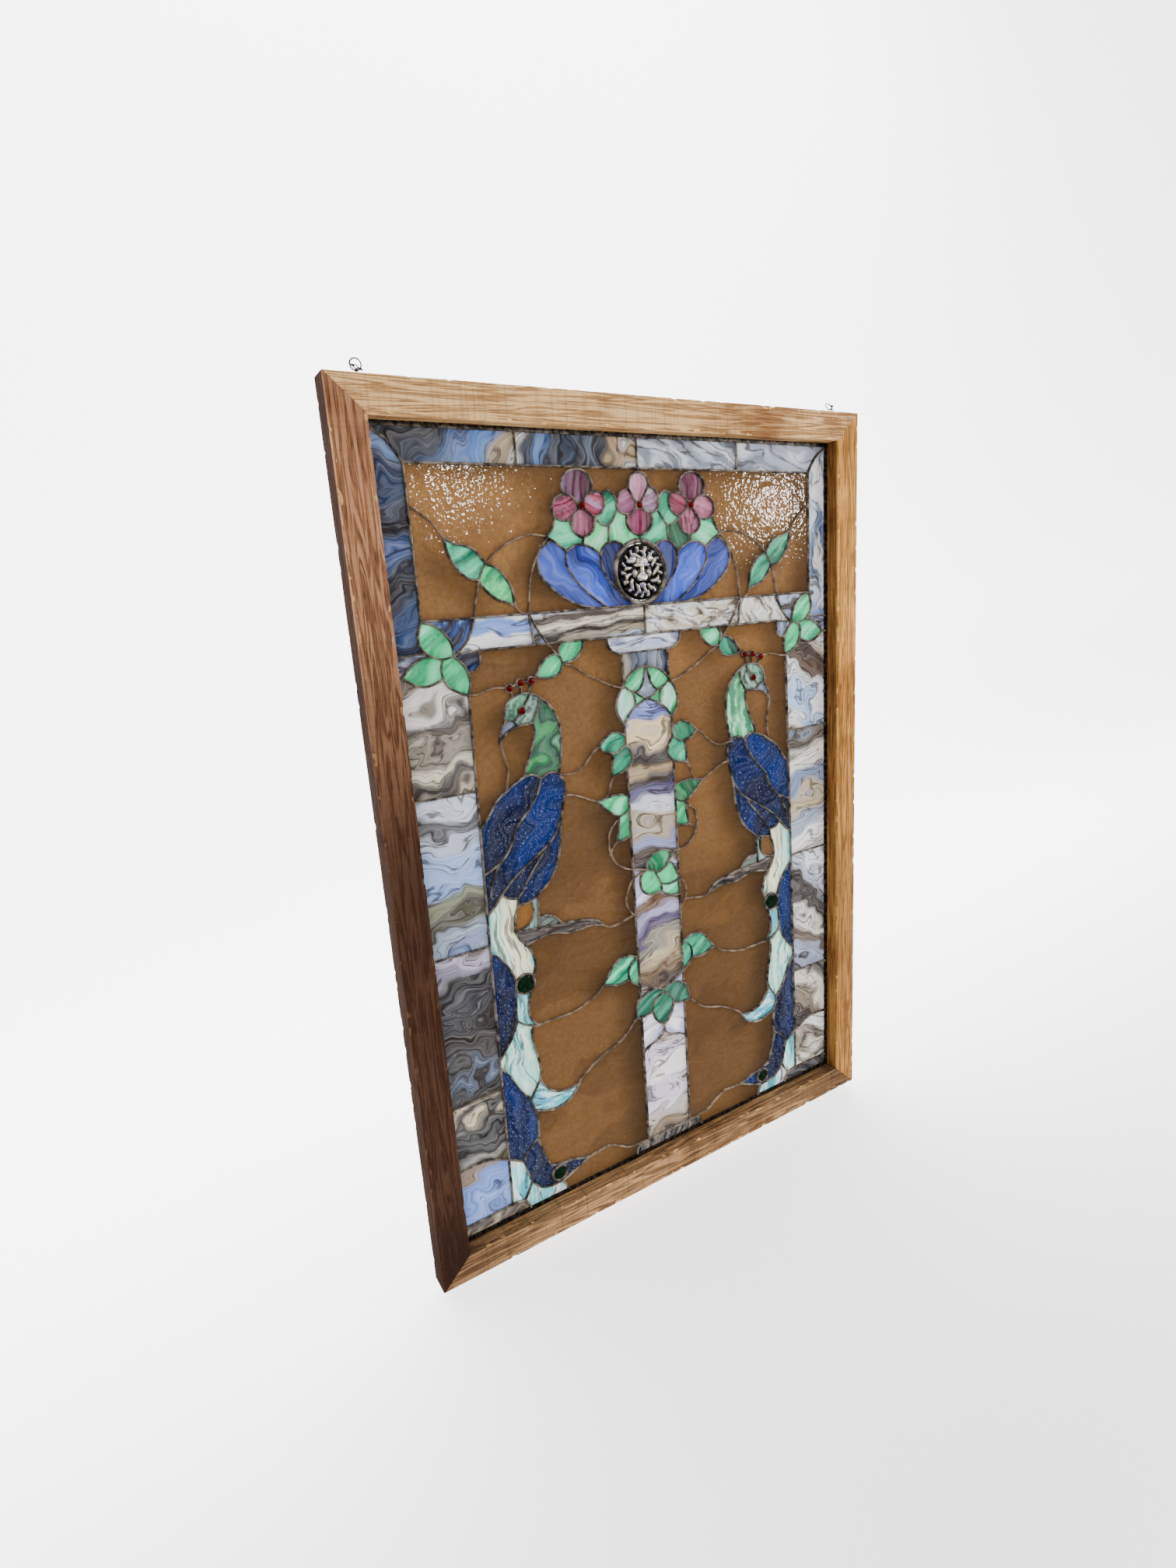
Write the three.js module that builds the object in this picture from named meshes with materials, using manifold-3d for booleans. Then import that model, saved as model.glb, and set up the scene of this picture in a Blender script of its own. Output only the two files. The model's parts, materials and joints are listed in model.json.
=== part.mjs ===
// Stained glass window: a copper-foiled glass panel with two peacocks and a column,
// let into a grooved, mitred wooden frame that hangs from two rings.
// Millimetres, +Z up, the glass faces -Y. X and Z are measured from the panel's centre
// while the pieces are made; the last lines move the origin up to the hanging rings.
import * as THREE from 'three';
import { mergeVertices } from 'three/addons/utils/BufferGeometryUtils.js';
import Module from 'manifold-3d';

const wasm = await Module();
wasm.setup();
const { Manifold, Mesh: SolidMesh } = wasm;

// Driving dimensions
const FRAME_W = 900;
const FRAME_H = 1285;
const FRAME_D = 38;
const OPENING_W = 804;
const OPENING_H = 1194;
const MITRE_GAP = 0.3;
const CLEARANCE = 0.3;
const GLASS_FRONT = 28;
const GLASS_T = 3;
const GLASS_BACK = GLASS_FRONT + GLASS_T;
const SOLDER_PROUD = 1.4;
const SOLDER_W = 4.5;
const VINE_W = 3.6;
const CAME_FLANGE = 1.5;
const CAME_OUTER_W = 820;
const CAME_OUTER_H = 1210;
const CAME_W = 14;
const CAME_CHANNEL = 11;
const CAME_FRONT = GLASS_FRONT - CLEARANCE - CAME_FLANGE;
const CAME_BACK = GLASS_BACK + CLEARANCE + CAME_FLANGE;
const PAST_CAME = 20;
const SOLDER_FRONT = GLASS_FRONT - SOLDER_PROUD;
const SOLDER_BACK = GLASS_BACK + SOLDER_PROUD;
const SEAM_W = 1;
const END_REACH = 0.25;
const MEDALLION_FACE = 25.5;
const EDGE_X = CAME_OUTER_W / 2 - CAME_W - CLEARANCE;
const EDGE_Z = CAME_OUTER_H / 2 - CAME_W - CLEARANCE;
const CURVE_STEPS = 6;
const CURVE_TOLERANCE = 3.4;
const SIMPLIFY = 0.12;
const HANG_X = 404;
const HANG_Y = 19;
const EYE_R = 3.6;
const EYE_WIRE = 0.9;
const RING_R = 7;
const RING_WIRE = 0.9;
const EYE_Z = FRAME_H / 2 + EYE_R + EYE_WIRE + CLEARANCE;
const SHANK_R = 1.3;
const SHANK_DEPTH = 14;
const LINK_LENGTH = 9;
const LINK_WIDTH = 6.4;
const LINK_WIRE = 0.8;
const LINK_PITCH = 6;
const LINK_ROLL = Math.PI / 2;
const RIGHT_RING_LEAN = 0.6;
const LINKS_FORWARD = 1;
const LEFT_LINKS_DROP = 0.8;
const RIGHT_LINKS_DROP = 0.1;

// Solids

// Drops empty triangles, and turns every triangle round where a shape came inside out.
const facesOut = (xyz, index) => {
  const corner = (i) => new THREE.Vector3().fromArray(xyz, i * 3);
  const kept = [];
  let volume = 0;
  for (let i = 0; i < index.length; i += 3) {
    const [a, b, c] = index.slice(i, i + 3);
    if (a !== b && b !== c && c !== a) {
      kept.push([a, b, c]);
      volume += corner(a).dot(corner(b).cross(corner(c)));
    }
  }
  return new Uint32Array(kept.flatMap(([a, b, c]) => (volume > 0 ? [a, b, c] : [a, c, b])));
};

const toSolid = (geometry) => {
  const bare = geometry.index ? geometry.toNonIndexed() : geometry.clone();
  bare.deleteAttribute('normal');
  bare.deleteAttribute('uv');
  const merged = mergeVertices(bare, 1e-4);
  return new Manifold(new SolidMesh({
    numProp: 3,
    vertProperties: new Float32Array(merged.attributes.position.array),
    triVerts: facesOut(merged.attributes.position.array, merged.index.array),
  }));
};

const toGeometry = (solid) => {
  const { vertProperties, triVerts } = solid.getMesh();
  const geometry = new THREE.BufferGeometry();
  geometry.setAttribute('position', new THREE.BufferAttribute(new Float32Array(vertProperties), 3));
  geometry.setIndex(new THREE.BufferAttribute(new Uint32Array(triVerts), 1));
  return geometry;
};

const join = (solids) => Manifold.union(solids).asOriginal();

// An outline in X and Z, given thickness from y = front to y = back.
const plate = (outline, front, back) => {
  const shape = new THREE.Shape(outline.map(([x, z]) => new THREE.Vector2(x, z)));
  const geometry = new THREE.ExtrudeGeometry(shape, { depth: back - front, bevelEnabled: false });
  geometry.rotateX(Math.PI / 2);
  geometry.translate(0, back, 0);
  return toSolid(geometry);
};

const rectangle = (w, h) => [[-w / 2, -h / 2], [w / 2, -h / 2], [w / 2, h / 2], [-w / 2, h / 2]];

const circle = (cx, cz, r, count) => Array.from({ length: count }, (_, i) => {
  const turn = (i / count) * Math.PI * 2;
  return [cx + r * Math.cos(turn), cz + r * Math.sin(turn)];
});

// Lines of solder, drawn as smooth curves through a few points

const distanceToChord = ([px, pz], [ax, az], [bx, bz]) => {
  const length = Math.hypot(bx - ax, bz - az) || 1;
  return Math.abs((bx - ax) * (pz - az) - (bz - az) * (px - ax)) / length;
};

const thinned = (points) => {
  const first = points[0];
  const last = points[points.length - 1];
  let widest = 0;
  let at = 0;
  points.forEach((point, i) => {
    const off = distanceToChord(point, first, last);
    if (i > 0 && i < points.length - 1 && off > widest) {
      widest = off;
      at = i;
    }
  });
  if (widest < CURVE_TOLERANCE) return [first, last];
  return [...thinned(points.slice(0, at + 1)).slice(0, -1), ...thinned(points.slice(at))];
};

// A point where another line ends is kept, so that lines meet exactly.
const smooth = (points, ends) => {
  const curve = new THREE.SplineCurve(points.map(([x, z]) => new THREE.Vector2(x, z)));
  const samples = curve.getPoints((points.length - 1) * CURVE_STEPS).map((p) => [p.x, p.y]);
  const path = [points[0]];
  let from = 0;
  points.forEach((point, i) => {
    if (i === points.length - 1 || (i > 0 && ends.has(String(point)))) {
      path.push(...thinned(samples.slice(from * CURVE_STEPS, i * CURVE_STEPS + 1)).slice(1));
      from = i;
    }
  });
  return path;
};

const mirrored = (points) => points.map(([x, z]) => [-x, z]);

const meetsCame = ([x, z]) => Math.abs(x) > EDGE_X - 4 || Math.abs(z) > EDGE_Z - 4;

const pushed = ([x, z], [fromX, fromZ], by) => {
  const length = Math.hypot(x - fromX, z - fromZ);
  return [x + ((x - fromX) / length) * by, z + ((z - fromZ) / length) * by];
};

// The outline of a ribbon of the given width along a path; its ends reach on a little,
// so that two lines that meet at a point close the corner.
const ribbon = (path, width, reachAtCame) => {
  const run = path.map((p) => [...p]);
  const last = run.length - 1;
  const reach = (point) => (meetsCame(point) ? reachAtCame : width * END_REACH);
  run[0] = pushed(path[0], path[1], reach(path[0]));
  run[last] = pushed(path[last], path[last - 1], reach(path[last]));
  const left = [];
  const right = [];
  run.forEach(([x, z], i) => {
    const [ax, az] = run[Math.max(i - 1, 0)];
    const [bx, bz] = run[Math.min(i + 1, last)];
    const length = Math.hypot(bx - ax, bz - az);
    const nx = (-(bz - az) / length) * (width / 2);
    const nz = ((bx - ax) / length) * (width / 2);
    left.push([x + nx, z + nz]);
    right.unshift([x - nx, z - nz]);
  });
  return [...left, ...right];
};

// The drawing: lines between the pieces of glass. Those of the left half are repeated in
// the mirror. The structure's straight lines are solder right through the panel; seams part
// two pieces of glass; vines are lines of solder that lie on the amber glass.

const FLOWER = { x: -99, z: 497 };
const MIDDLE_FLOWER = { x: 2, z: 497 };
const MEDALLION = { x: 0, z: 400, r: 41.7, collar: 46, collarW: 8 };
const UPPER_NUGGET = { x: -256, z: -203, r: 14, ringW: 3.4 };
const LOWER_NUGGET = { x: -226, z: -554.5, r: 10.8, ringW: 6.5 };
const EYE_JEWEL = { x: -222, z: 216 };
const CREST_JEWELS = [[-239, 250], [-220.5, 256], [-203, 257]];
const JEWEL_R = 5;

const SYMMETRIC_STRUCTURE = {
  mitre: [[-357, 549], [-374, 573], [-393, 587]],
  sideOfUpperPane: [[-357, 549], [-357, 351]],
  sideOfLowerPane: [[-300, 247], [-304, 60], [-308, -140], [-312, -400], [-314, -571]],
  bandBottom: [[-278, 307], [-3, 307]],
  neckOfColumn: [[-43, 281], [-44, 233]],
  shaftTop: [[-46, 172], [-46, 138]],
  shaftMiddle: [[-46, 100], [-46, -300]],
  shaftFoot: [[-46, -334], [-46, -573]],
  cornerStepTop: [[-314, -571], [-292, -574]],
  cornerStep: [[-292, -574], [-287, -583], [-284, -590.7]],
  tailFoot: [[-222, -572], [-215, -583], [-212, -590.7]],
  base: [[-46, -573], [-62, -575], [-70, -581], [-72, -590.7]],
  capital: [[-70, 307], [-68, 295], [-61, 286], [-50, 281], [-43, 281]],
};

const MIDDLE_STRUCTURE = {
  topLine: [[-357, 549], [357, 549]],
  bandTop: [[-357, 351], [357, 351]],
  bandBottomMiddle: [[-3, 307], [3, 307]],
  middleFlowerStem: [[3, 544], [3, 549]],
};

const SOLDERED_SEAMS = {
  vineLeafLowerTop: [[-256, 421], [-240, 415], [-228, 401], [-220, 385], [-218, 364]],
  vineLeafTop: [[-313, 457], [-300, 449], [-285, 446], [-270, 439], [-256, 421]],
  clusterUnder: [[-58, -333], [-44, -335], [-22, -331]],
  clusterSide: [[-50, -302], [-55, -317], [-58, -333]],
  clusterTop: [[0, -296], [-18, -290], [-35, -294], [-50, -302]],
  leafUpperRight: [[-73, 92], [-58, 96], [-46, 100], [-37, 108], [-35, 118], [-39, 130], [-46, 138]],
  wreathSide: [[-44, 233], [-54, 218], [-59, 204], [-58, 190], [-52, 179], [-46, 172]],
  cornerBlock: [[-278, 307], [-279, 292], [-285, 282], [-298, 278]],
  cornerLeafBottomRight: [[-300, 247], [-296, 262], [-298, 278], [-305, 291], [-316, 302]],
  cornerLeafTopRight: [[-316, 302], [-316, 314], [-322, 328], [-336, 343], [-357, 351]],
  headAndNape: [[-248, 204], [-249, 214], [-245, 226], [-235, 236], [-220, 240], [-206, 239],
    [-192, 232], [-177, 219], [-166, 202], [-161, 182], [-161, 155], [-164, 135], [-169, 113]],
  beakTop: [[-248, 204], [-256, 192], [-260, 174]],
  beakUnder: [[-260, 174], [-252, 184], [-243, 190], [-230, 194], [-206, 196]],
  throat: [[-206, 196], [-204, 185], [-207, 168], [-214, 150], [-222, 133], [-226, 119]],
  collarLeft: [[-226, 119], [-213, 120], [-200, 112]],
  collarRight: [[-200, 112], [-190, 117], [-178, 118], [-169, 113]],
  shoulder: [[-226, 119], [-242, 112], [-258, 102], [-275, 90], [-289, 70], [-304, 54]],
  breast: [[-169, 113], [-161, 100], [-160, 85], [-166, 65], [-171, 45], [-174, 20], [-177, 0],
    [-185, -26], [-198, -47], [-222, -68]],
  belly: [[-222, -68], [-238, -73], [-256, -75]],
  bodyEnd: [[-306, -77], [-293, -66], [-281, -52]],
  bodyEndRight: [[-281, -52], [-269, -60], [-255, -63]],
  tailRight: [[-255, -63], [-256, -75], [-262, -90], [-264, -105], [-263, -118], [-256, -132],
    [-250, -141], [-238, -162], [-236, -178], [-246, -198]],
  legRight: [[-222, -68], [-223, -90], [-224, -103]],
  foot: [[-224, -103], [-208, -103], [-195, -110], [-184, -123]],
  branchTop: [[-184, -123], [-160, -126], [-138, -130], [-120, -137], [-110, -147]],
  branchUnder: [[-250, -141], [-228, -136], [-208, -134], [-190, -137], [-172, -142], [-150, -141],
    [-130, -141], [-110, -147]],
  tailWaist: [[-246, -208], [-249, -222], [-254, -240], [-254, -256], [-249, -268], [-241, -278]],
  tailMiddle: [[-241, -278], [-251, -281], [-253, -296], [-250, -315], [-245, -340], [-243, -358],
    [-246, -372]],
  crescentTop: [[-246, -372], [-238, -388], [-226, -401], [-210, -408], [-195, -410], [-177, -408]],
  crescentUnder: [[-177, -408], [-187, -422], [-201, -431], [-220, -435], [-240, -431], [-258, -424]],
  tailLower: [[-258, -424], [-256, -450], [-258, -478], [-252, -500], [-246, -520], [-240, -533]],
  tailTipTop: [[-240, -533], [-222, -539], [-200, -542], [-171, -551]],
  tailTipUnder: [[-171, -551], [-188, -559], [-205, -566], [-222, -572]],
};

const SYMMETRIC_SEAMS = {
  cornerLeafTip: [[-391, 281], [-395.7, 281]],
  cornerLeafTop: [[-357, 351], [-363, 333], [-361, 317], [-349, 305]],
  cornerLeafUpperLeft: [[-349, 305], [-362, 303], [-377, 295], [-391, 281]],
  cornerLeafLowerLeft: [[-391, 281], [-375, 270], [-357, 266], [-334, 273]],
  cornerLeafBottomLeft: [[-334, 273], [-328, 262], [-316, 254], [-300, 247]],
  vineLeafUnder: [[-313, 457], [-309, 436], [-299, 417], [-285, 404], [-269, 400]],
  vineLeafLowerUnder: [[-269, 400], [-258, 385], [-243, 373], [-230, 369], [-218, 364]],
  petalTop: [[-127, 512], [-129, 528], [-120, 541], [-103, 546], [-87, 541], [-79, 528], [-81, 514]],
  petalLeft: [[-127, 512], [-140, 507], [-147, 494], [-143, 481], [-131, 476], [-117, 477]],
  petalRight: [[-81, 514], [-67, 516], [-59, 507], [-60, 494], [-67, 485], [-76, 481]],
  petalBottom: [[-117, 477], [-117, 466], [-109, 457], [-98, 453], [-87, 457], [-79, 466], [-76, 481]],
  bouquetSide: [[-160, 455], [-150, 464], [-141, 481]],
  bouquetLeaf: [[-67, 516], [-52, 518], [-43, 512], [-37, 504]],
  lotusOuterTop: [[-160, 455], [-145, 446], [-128, 434]],
  lotusMiddleTop: [[-128, 434], [-116, 441], [-102, 443], [-86, 438], [-71, 428]],
  lotusInnerTop: [[-71, 428], [-66, 437], [-57, 444], [-45, 446], [-33, 442], [-28, 436]],
  lotusOuter: [[-152, 450], [-169, 439], [-177, 424], [-174, 404], [-160, 387], [-138, 370],
    [-110, 357], [-80, 351]],
  wreathTop: [[-44, 233], [-32, 246], [-17, 254], [0, 258]],
  wreathUnder: [[-46, 172], [-36, 186], [-22, 197], [0, 207]],
  crestLeafTop: [[-194, 262], [-184, 279], [-171, 288], [-158, 291], [-152, 285]],
  crestLeafUpperLeft: [[-152, 285], [-154, 296], [-147, 307]],
  crestLeafUpperRight: [[-110, 307], [-114, 294], [-123, 283], [-133, 278], [-148, 277]],
  crestLeafUnder: [[-148, 277], [-153, 265], [-163, 259], [-180, 258], [-194, 262]],
  leafUpperTop: [[-46, 154], [-58, 160], [-71, 161], [-84, 154], [-95, 143]],
  leafUpperUnder: [[-95, 143], [-84, 133], [-70, 129]],
  leafUpperDrop: [[-70, 129], [-73, 112], [-73, 92]],
  leafMiddleTop: [[-46, 56], [-60, 61], [-75, 62], [-90, 60], [-104, 57]],
  leafMiddleUnder: [[-104, 57], [-94, 47], [-82, 36], [-67, 26]],
  leafMiddleDrop: [[-67, 26], [-68, 10], [-73, -14]],
  leafMiddleEnd: [[-73, -14], [-60, -14], [-46, -9]],
  leafLowerTop: [[-46, -222], [-65, -215], [-82, -215], [-96, -224], [-106, -237], [-117, -250]],
  leafLowerUnder: [[-117, -250], [-100, -257], [-83, -260], [-66, -257]],
  leafLowerDrop: [[-66, -257], [-58, -267], [-46, -276]],
  clusterPoint: [[-22, -331], [-18, -345], [-10, -356], [0, -366]],
};

const MIDDLE_SEAMS = {
  middlePetalTop: [[-16, 521], [-13, 534], [-5, 542], [3, 544], [13, 542], [20, 535], [21, 525]],
  middlePetalLeft: [[-16, 521], [-29, 515], [-37, 504], [-37, 493], [-30, 486], [-20, 484]],
  middlePetalRight: [[21, 525], [33, 519], [39, 508], [39, 497], [33, 489], [24, 487]],
  middlePetalBottom: [[-20, 484], [-21, 471], [-14, 460], [2, 454], [17, 460], [25, 472], [24, 487]],
  spurLeafTop: [[-19, -75], [-18, -62], [-8, -52], [8, -47], [22, -50], [34, -55]],
  spurLeafTip: [[34, -55], [28, -66], [22, -73]],
  spurLeafRight: [[22, -73], [32, -74], [39, -84], [43, -95], [50, -106]],
  spurLeafLeft: [[-19, -75], [-30, -82], [-33, -97], [-27, -112], [-12, -120], [9, -119]],
  spurUnder: [[9, -119], [20, -127], [32, -132], [46, -134]],
  spurTipUnder: [[50, -106], [46, -107]],
};

const SYMMETRIC_VINES = {
  vine: [[-357, 497], [-343, 488], [-327, 475], [-313, 457]],
  vineArc: [[-256, 421], [-243, 434], [-222, 447], [-200, 455], [-180, 458], [-160, 455]],
  vineTail: [[-218, 364], [-213, 356], [-205, 351]],
  crestSweep: [[-148, 277], [-130, 269], [-110, 256], [-85, 243], [-60, 232], [-44, 228]],
  crestStem: [[-300, 247], [-288, 247], [-273, 251], [-258, 253], [-239, 250]],
  crestJoin: [[-239, 250], [-220, 256], [-203, 257], [-194, 262]],
  stemUpper: [[-169, 113], [-150, 110], [-135, 113], [-120, 123], [-106, 137], [-95, 143]],
  stemMiddle: [[-160, 79], [-145, 76], [-130, 69], [-104, 57]],
  stemLow: [[-241, -278], [-210, -278], [-180, -278], [-155, -272], [-130, -262], [-117, -250]],
  stemLower: [[-177, -408], [-172, -400], [-155, -389], [-130, -375], [-88, -360], [-58, -333]],
  stemLowest: [[-171, -551], [-150, -549], [-128, -548], [-105, -560], [-85, -570], [-46, -573]],
  crestStemLeft: [[-239, 250], [-234, 237]],
  crestStemMiddle: [[-220, 256], [-220, 240]],
  crestStemRight: [[-203, 257], [-209, 239]],
};

const NUGGET_PROUD = 4;
const MEDALLION_SIDES = 28;
const NUGGET_SIDES = 12;
const JEWEL_SIDES = 8;
const JEWEL_PROUD = 3.4;

const drawing = [
  SYMMETRIC_STRUCTURE, MIDDLE_STRUCTURE, SOLDERED_SEAMS, SYMMETRIC_SEAMS, MIDDLE_SEAMS, SYMMETRIC_VINES,
].flatMap((part) => Object.values(part));
const ends = new Set(drawing.flatMap((points) => [points[0], points[points.length - 1]]).map(String));

const lines = (symmetric, middle = {}) => [
  ...Object.values(symmetric).map((points) => smooth(points, ends)).flatMap((path) => [path, mirrored(path)]),
  ...Object.values(middle).map((points) => smooth(points, ends)),
];

const bothSides = (place) => [
  { ...place, side: 'left' },
  { ...place, x: -place.x, side: 'right' },
];

const disc = ({ x, z }, r, front, back, count) => plate(circle(x, z, r, count), front, back);

// A dome of glass: half an ellipsoid in front of a short cylinder with a flat back.
const dome = ({ x, z }, r, front, shoulder, back, count) => {
  const profile = [[0, -back], [r, -back], [r, -shoulder]];
  const turn = Math.PI / 4;
  profile.push([r * Math.cos(turn), -shoulder + (shoulder - front) * Math.sin(turn)], [0, -front]);
  const geometry = new THREE.LatheGeometry(profile.map(([a, b]) => new THREE.Vector2(a, b)), count);
  geometry.rotateX(Math.PI);
  geometry.translate(x, 0, z);
  return toSolid(geometry);
};

// Wooden frame: four mitred members with a groove for the edge of the panel

const grooveFront = CAME_FRONT - CLEARANCE;
const grooveBack = CAME_BACK + CLEARANCE;
const groove = plate(
  rectangle(CAME_OUTER_W + 2 * CLEARANCE, CAME_OUTER_H + 2 * CLEARANCE), grooveFront, grooveBack,
);

const shankHoles = join([-HANG_X, HANG_X].map((x) => {
  const bore = new THREE.CylinderGeometry(SHANK_R + CLEARANCE, SHANK_R + CLEARANCE, SHANK_DEPTH + 2, 8);
  bore.rotateX(Math.PI / 2);
  bore.translate(x, HANG_Y, (FRAME_H - SHANK_DEPTH) / 2);
  return toSolid(bore);
}));

const member = (outline) => plate(outline, 0, FRAME_D).subtract(groove).subtract(shankHoles);

const rail = (up) => member([
  [-FRAME_W / 2 + MITRE_GAP, (up * FRAME_H) / 2],
  [FRAME_W / 2 - MITRE_GAP, (up * FRAME_H) / 2],
  [OPENING_W / 2 - MITRE_GAP, (up * OPENING_H) / 2],
  [-OPENING_W / 2 + MITRE_GAP, (up * OPENING_H) / 2],
]);

const stile = (right) => member([
  [(right * FRAME_W) / 2, -FRAME_H / 2],
  [(right * FRAME_W) / 2, FRAME_H / 2],
  [(right * OPENING_W) / 2, OPENING_H / 2],
  [(right * OPENING_W) / 2, -OPENING_H / 2],
]);

// Zinc came: a channel round the edge of the glass, open towards the middle

const loop = (w, h, width, front, back) => (
  plate(rectangle(w, h), front, back)
    .subtract(plate(rectangle(w - 2 * width, h - 2 * width), front - 1, back + 1))
);

const came = join([
  loop(CAME_OUTER_W, CAME_OUTER_H, CAME_W - CAME_CHANNEL, CAME_FRONT, CAME_BACK),
  loop(CAME_OUTER_W, CAME_OUTER_H, CAME_W, CAME_FRONT, CAME_FRONT + CAME_FLANGE),
  loop(CAME_OUTER_W, CAME_OUTER_H, CAME_W, CAME_BACK - CAME_FLANGE, CAME_BACK),
]);

// Solder: straight lines go through the panel, curved ones lie on the front of the glass

const structure = lines(SYMMETRIC_STRUCTURE, MIDDLE_STRUCTURE);
const solderedSeams = lines(SOLDERED_SEAMS);
const seams = [...solderedSeams, ...lines(SYMMETRIC_SEAMS, MIDDLE_SEAMS)];
const vines = lines(SYMMETRIC_VINES);

const upperNuggets = bothSides(UPPER_NUGGET);
const lowerNuggets = bothSides(LOWER_NUGGET);
const nuggets = [
  ...upperNuggets.map((place) => ({ ...place, name: `glass_nugget_upper_${place.side}` })),
  ...lowerNuggets.map((place) => ({ ...place, name: `glass_nugget_lower_${place.side}` })),
];
const flowers = [...bothSides(FLOWER), { ...MIDDLE_FLOWER, side: 'middle' }];
const eyes = bothSides(EYE_JEWEL);
const crests = CREST_JEWELS.flatMap(([x, z]) => bothSides({ x, z }));

const jewel = (place, base) => (
  dome(place, JEWEL_R, SOLDER_FRONT - JEWEL_PROUD, SOLDER_FRONT, base, JEWEL_SIDES)
);

const collarR = MEDALLION.r + MEDALLION.collarW;

const solderLines = join([
  ...structure.map((path) => plate(ribbon(path, SOLDER_W, PAST_CAME), SOLDER_FRONT, SOLDER_BACK)),
  ...[...solderedSeams, ...vines].map((path) => (
    plate(ribbon(path, VINE_W, PAST_CAME), SOLDER_FRONT, GLASS_FRONT - CLEARANCE)
  )),
  disc(MEDALLION, collarR, SOLDER_FRONT, SOLDER_BACK, MEDALLION_SIDES),
  ...nuggets.map((n) => disc(n, n.r + n.ringW, SOLDER_FRONT, GLASS_FRONT - CLEARANCE, NUGGET_SIDES)),
  ...crests.map((j) => disc(j, JEWEL_R + 1.4, SOLDER_FRONT, GLASS_FRONT - CLEARANCE, JEWEL_SIDES)),
  ...crests.map((j) => jewel(j, SOLDER_FRONT + 0.5)),
]).subtract(join([
  disc(MEDALLION, MEDALLION.r + CLEARANCE, 0, FRAME_D, MEDALLION_SIDES),
  ...nuggets.map((n) => disc(n, n.r + CLEARANCE, 0, FRAME_D, NUGGET_SIDES)),
])).intersect(plate(rectangle(2 * EDGE_X, 2 * EDGE_Z), 0, FRAME_D)).simplify(SIMPLIFY);

// Glass: one sheet, cut along the lines into pieces that fill the came

const glassW = CAME_OUTER_W - 2 * (CAME_W - CAME_CHANNEL + CLEARANCE);
const glassH = CAME_OUTER_H - 2 * (CAME_W - CAME_CHANNEL + CLEARANCE);
const cutting = (path, width) => plate(ribbon(path, width, PAST_CAME), GLASS_FRONT - 1, GLASS_BACK + 1);

const pieces = plate(rectangle(glassW, glassH), GLASS_FRONT, GLASS_BACK).subtract(join([
  ...structure.map((path) => cutting(path, SOLDER_W + 2 * CLEARANCE)),
  ...seams.map((path) => cutting(path, SEAM_W)),
  disc(MEDALLION, collarR + CLEARANCE, 0, FRAME_D, MEDALLION_SIDES),
  ...nuggets.map((n) => disc(n, n.r + CLEARANCE, 0, FRAME_D, NUGGET_SIDES)),
])).simplify(SIMPLIFY).decompose();

const inTriangle = ([px, pz], corners) => {
  const turns = corners.map(([ax, az], i) => {
    const [bx, bz] = corners[(i + 1) % 3];
    return (bx - ax) * (pz - az) - (bz - az) * (px - ax);
  });
  return turns.every((t) => t >= 0) || turns.every((t) => t <= 0);
};

const pieceAt = (point) => pieces.find((piece) => {
  const { vertProperties: xyz, triVerts } = piece.getMesh();
  for (let i = 0; i < triVerts.length; i += 3) {
    const corners = [0, 1, 2].map((k) => triVerts[i + k] * 3);
    const atFront = corners.every((c) => Math.abs(xyz[c + 1] - GLASS_FRONT) < 0.01);
    if (atFront && inTriangle(point, corners.map((c) => [xyz[c], xyz[c + 2]]))) return true;
  }
  return false;
});

// The lion medallion: a cast disc, its relief a height over a grid of rings and spokes

const MANE_LOCKS = 14;
const RELIEF_RINGS = [0.08, 0.18, 0.28, 0.4, 0.52, 0.7, 0.86, 0.9, 1];

const bump = (x, z, cx, cz, rx, rz, height) => {
  const q = ((x - cx) / rx) ** 2 + ((z - cz) / rz) ** 2;
  return q < 1 ? height * Math.sqrt(1 - q) : 0;
};

const relief = (x, z) => {
  const share = Math.hypot(x, z) / MEDALLION.r;
  const turn = Math.atan2(z, x);
  const lock = 0.5 + 0.5 * Math.cos(MANE_LOCKS * turn + 5 * share);
  const rim = share > 0.88 ? 2.4 : 0;
  const mane = share > 0.4 && share < 0.88 ? 1.2 + 2 * lock : 0;
  return rim + mane
    + bump(x, z, 0, 0, 17, 20, 4.2)
    + bump(x, z, 0, -8, 8, 7, 1.4)
    + bump(x, z, 0, 2, 3, 9, 1)
    + bump(x, z, 11, 14, 5, 5, 1.2)
    + bump(x, z, -11, 14, 5, 5, 1.2);
};

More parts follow.
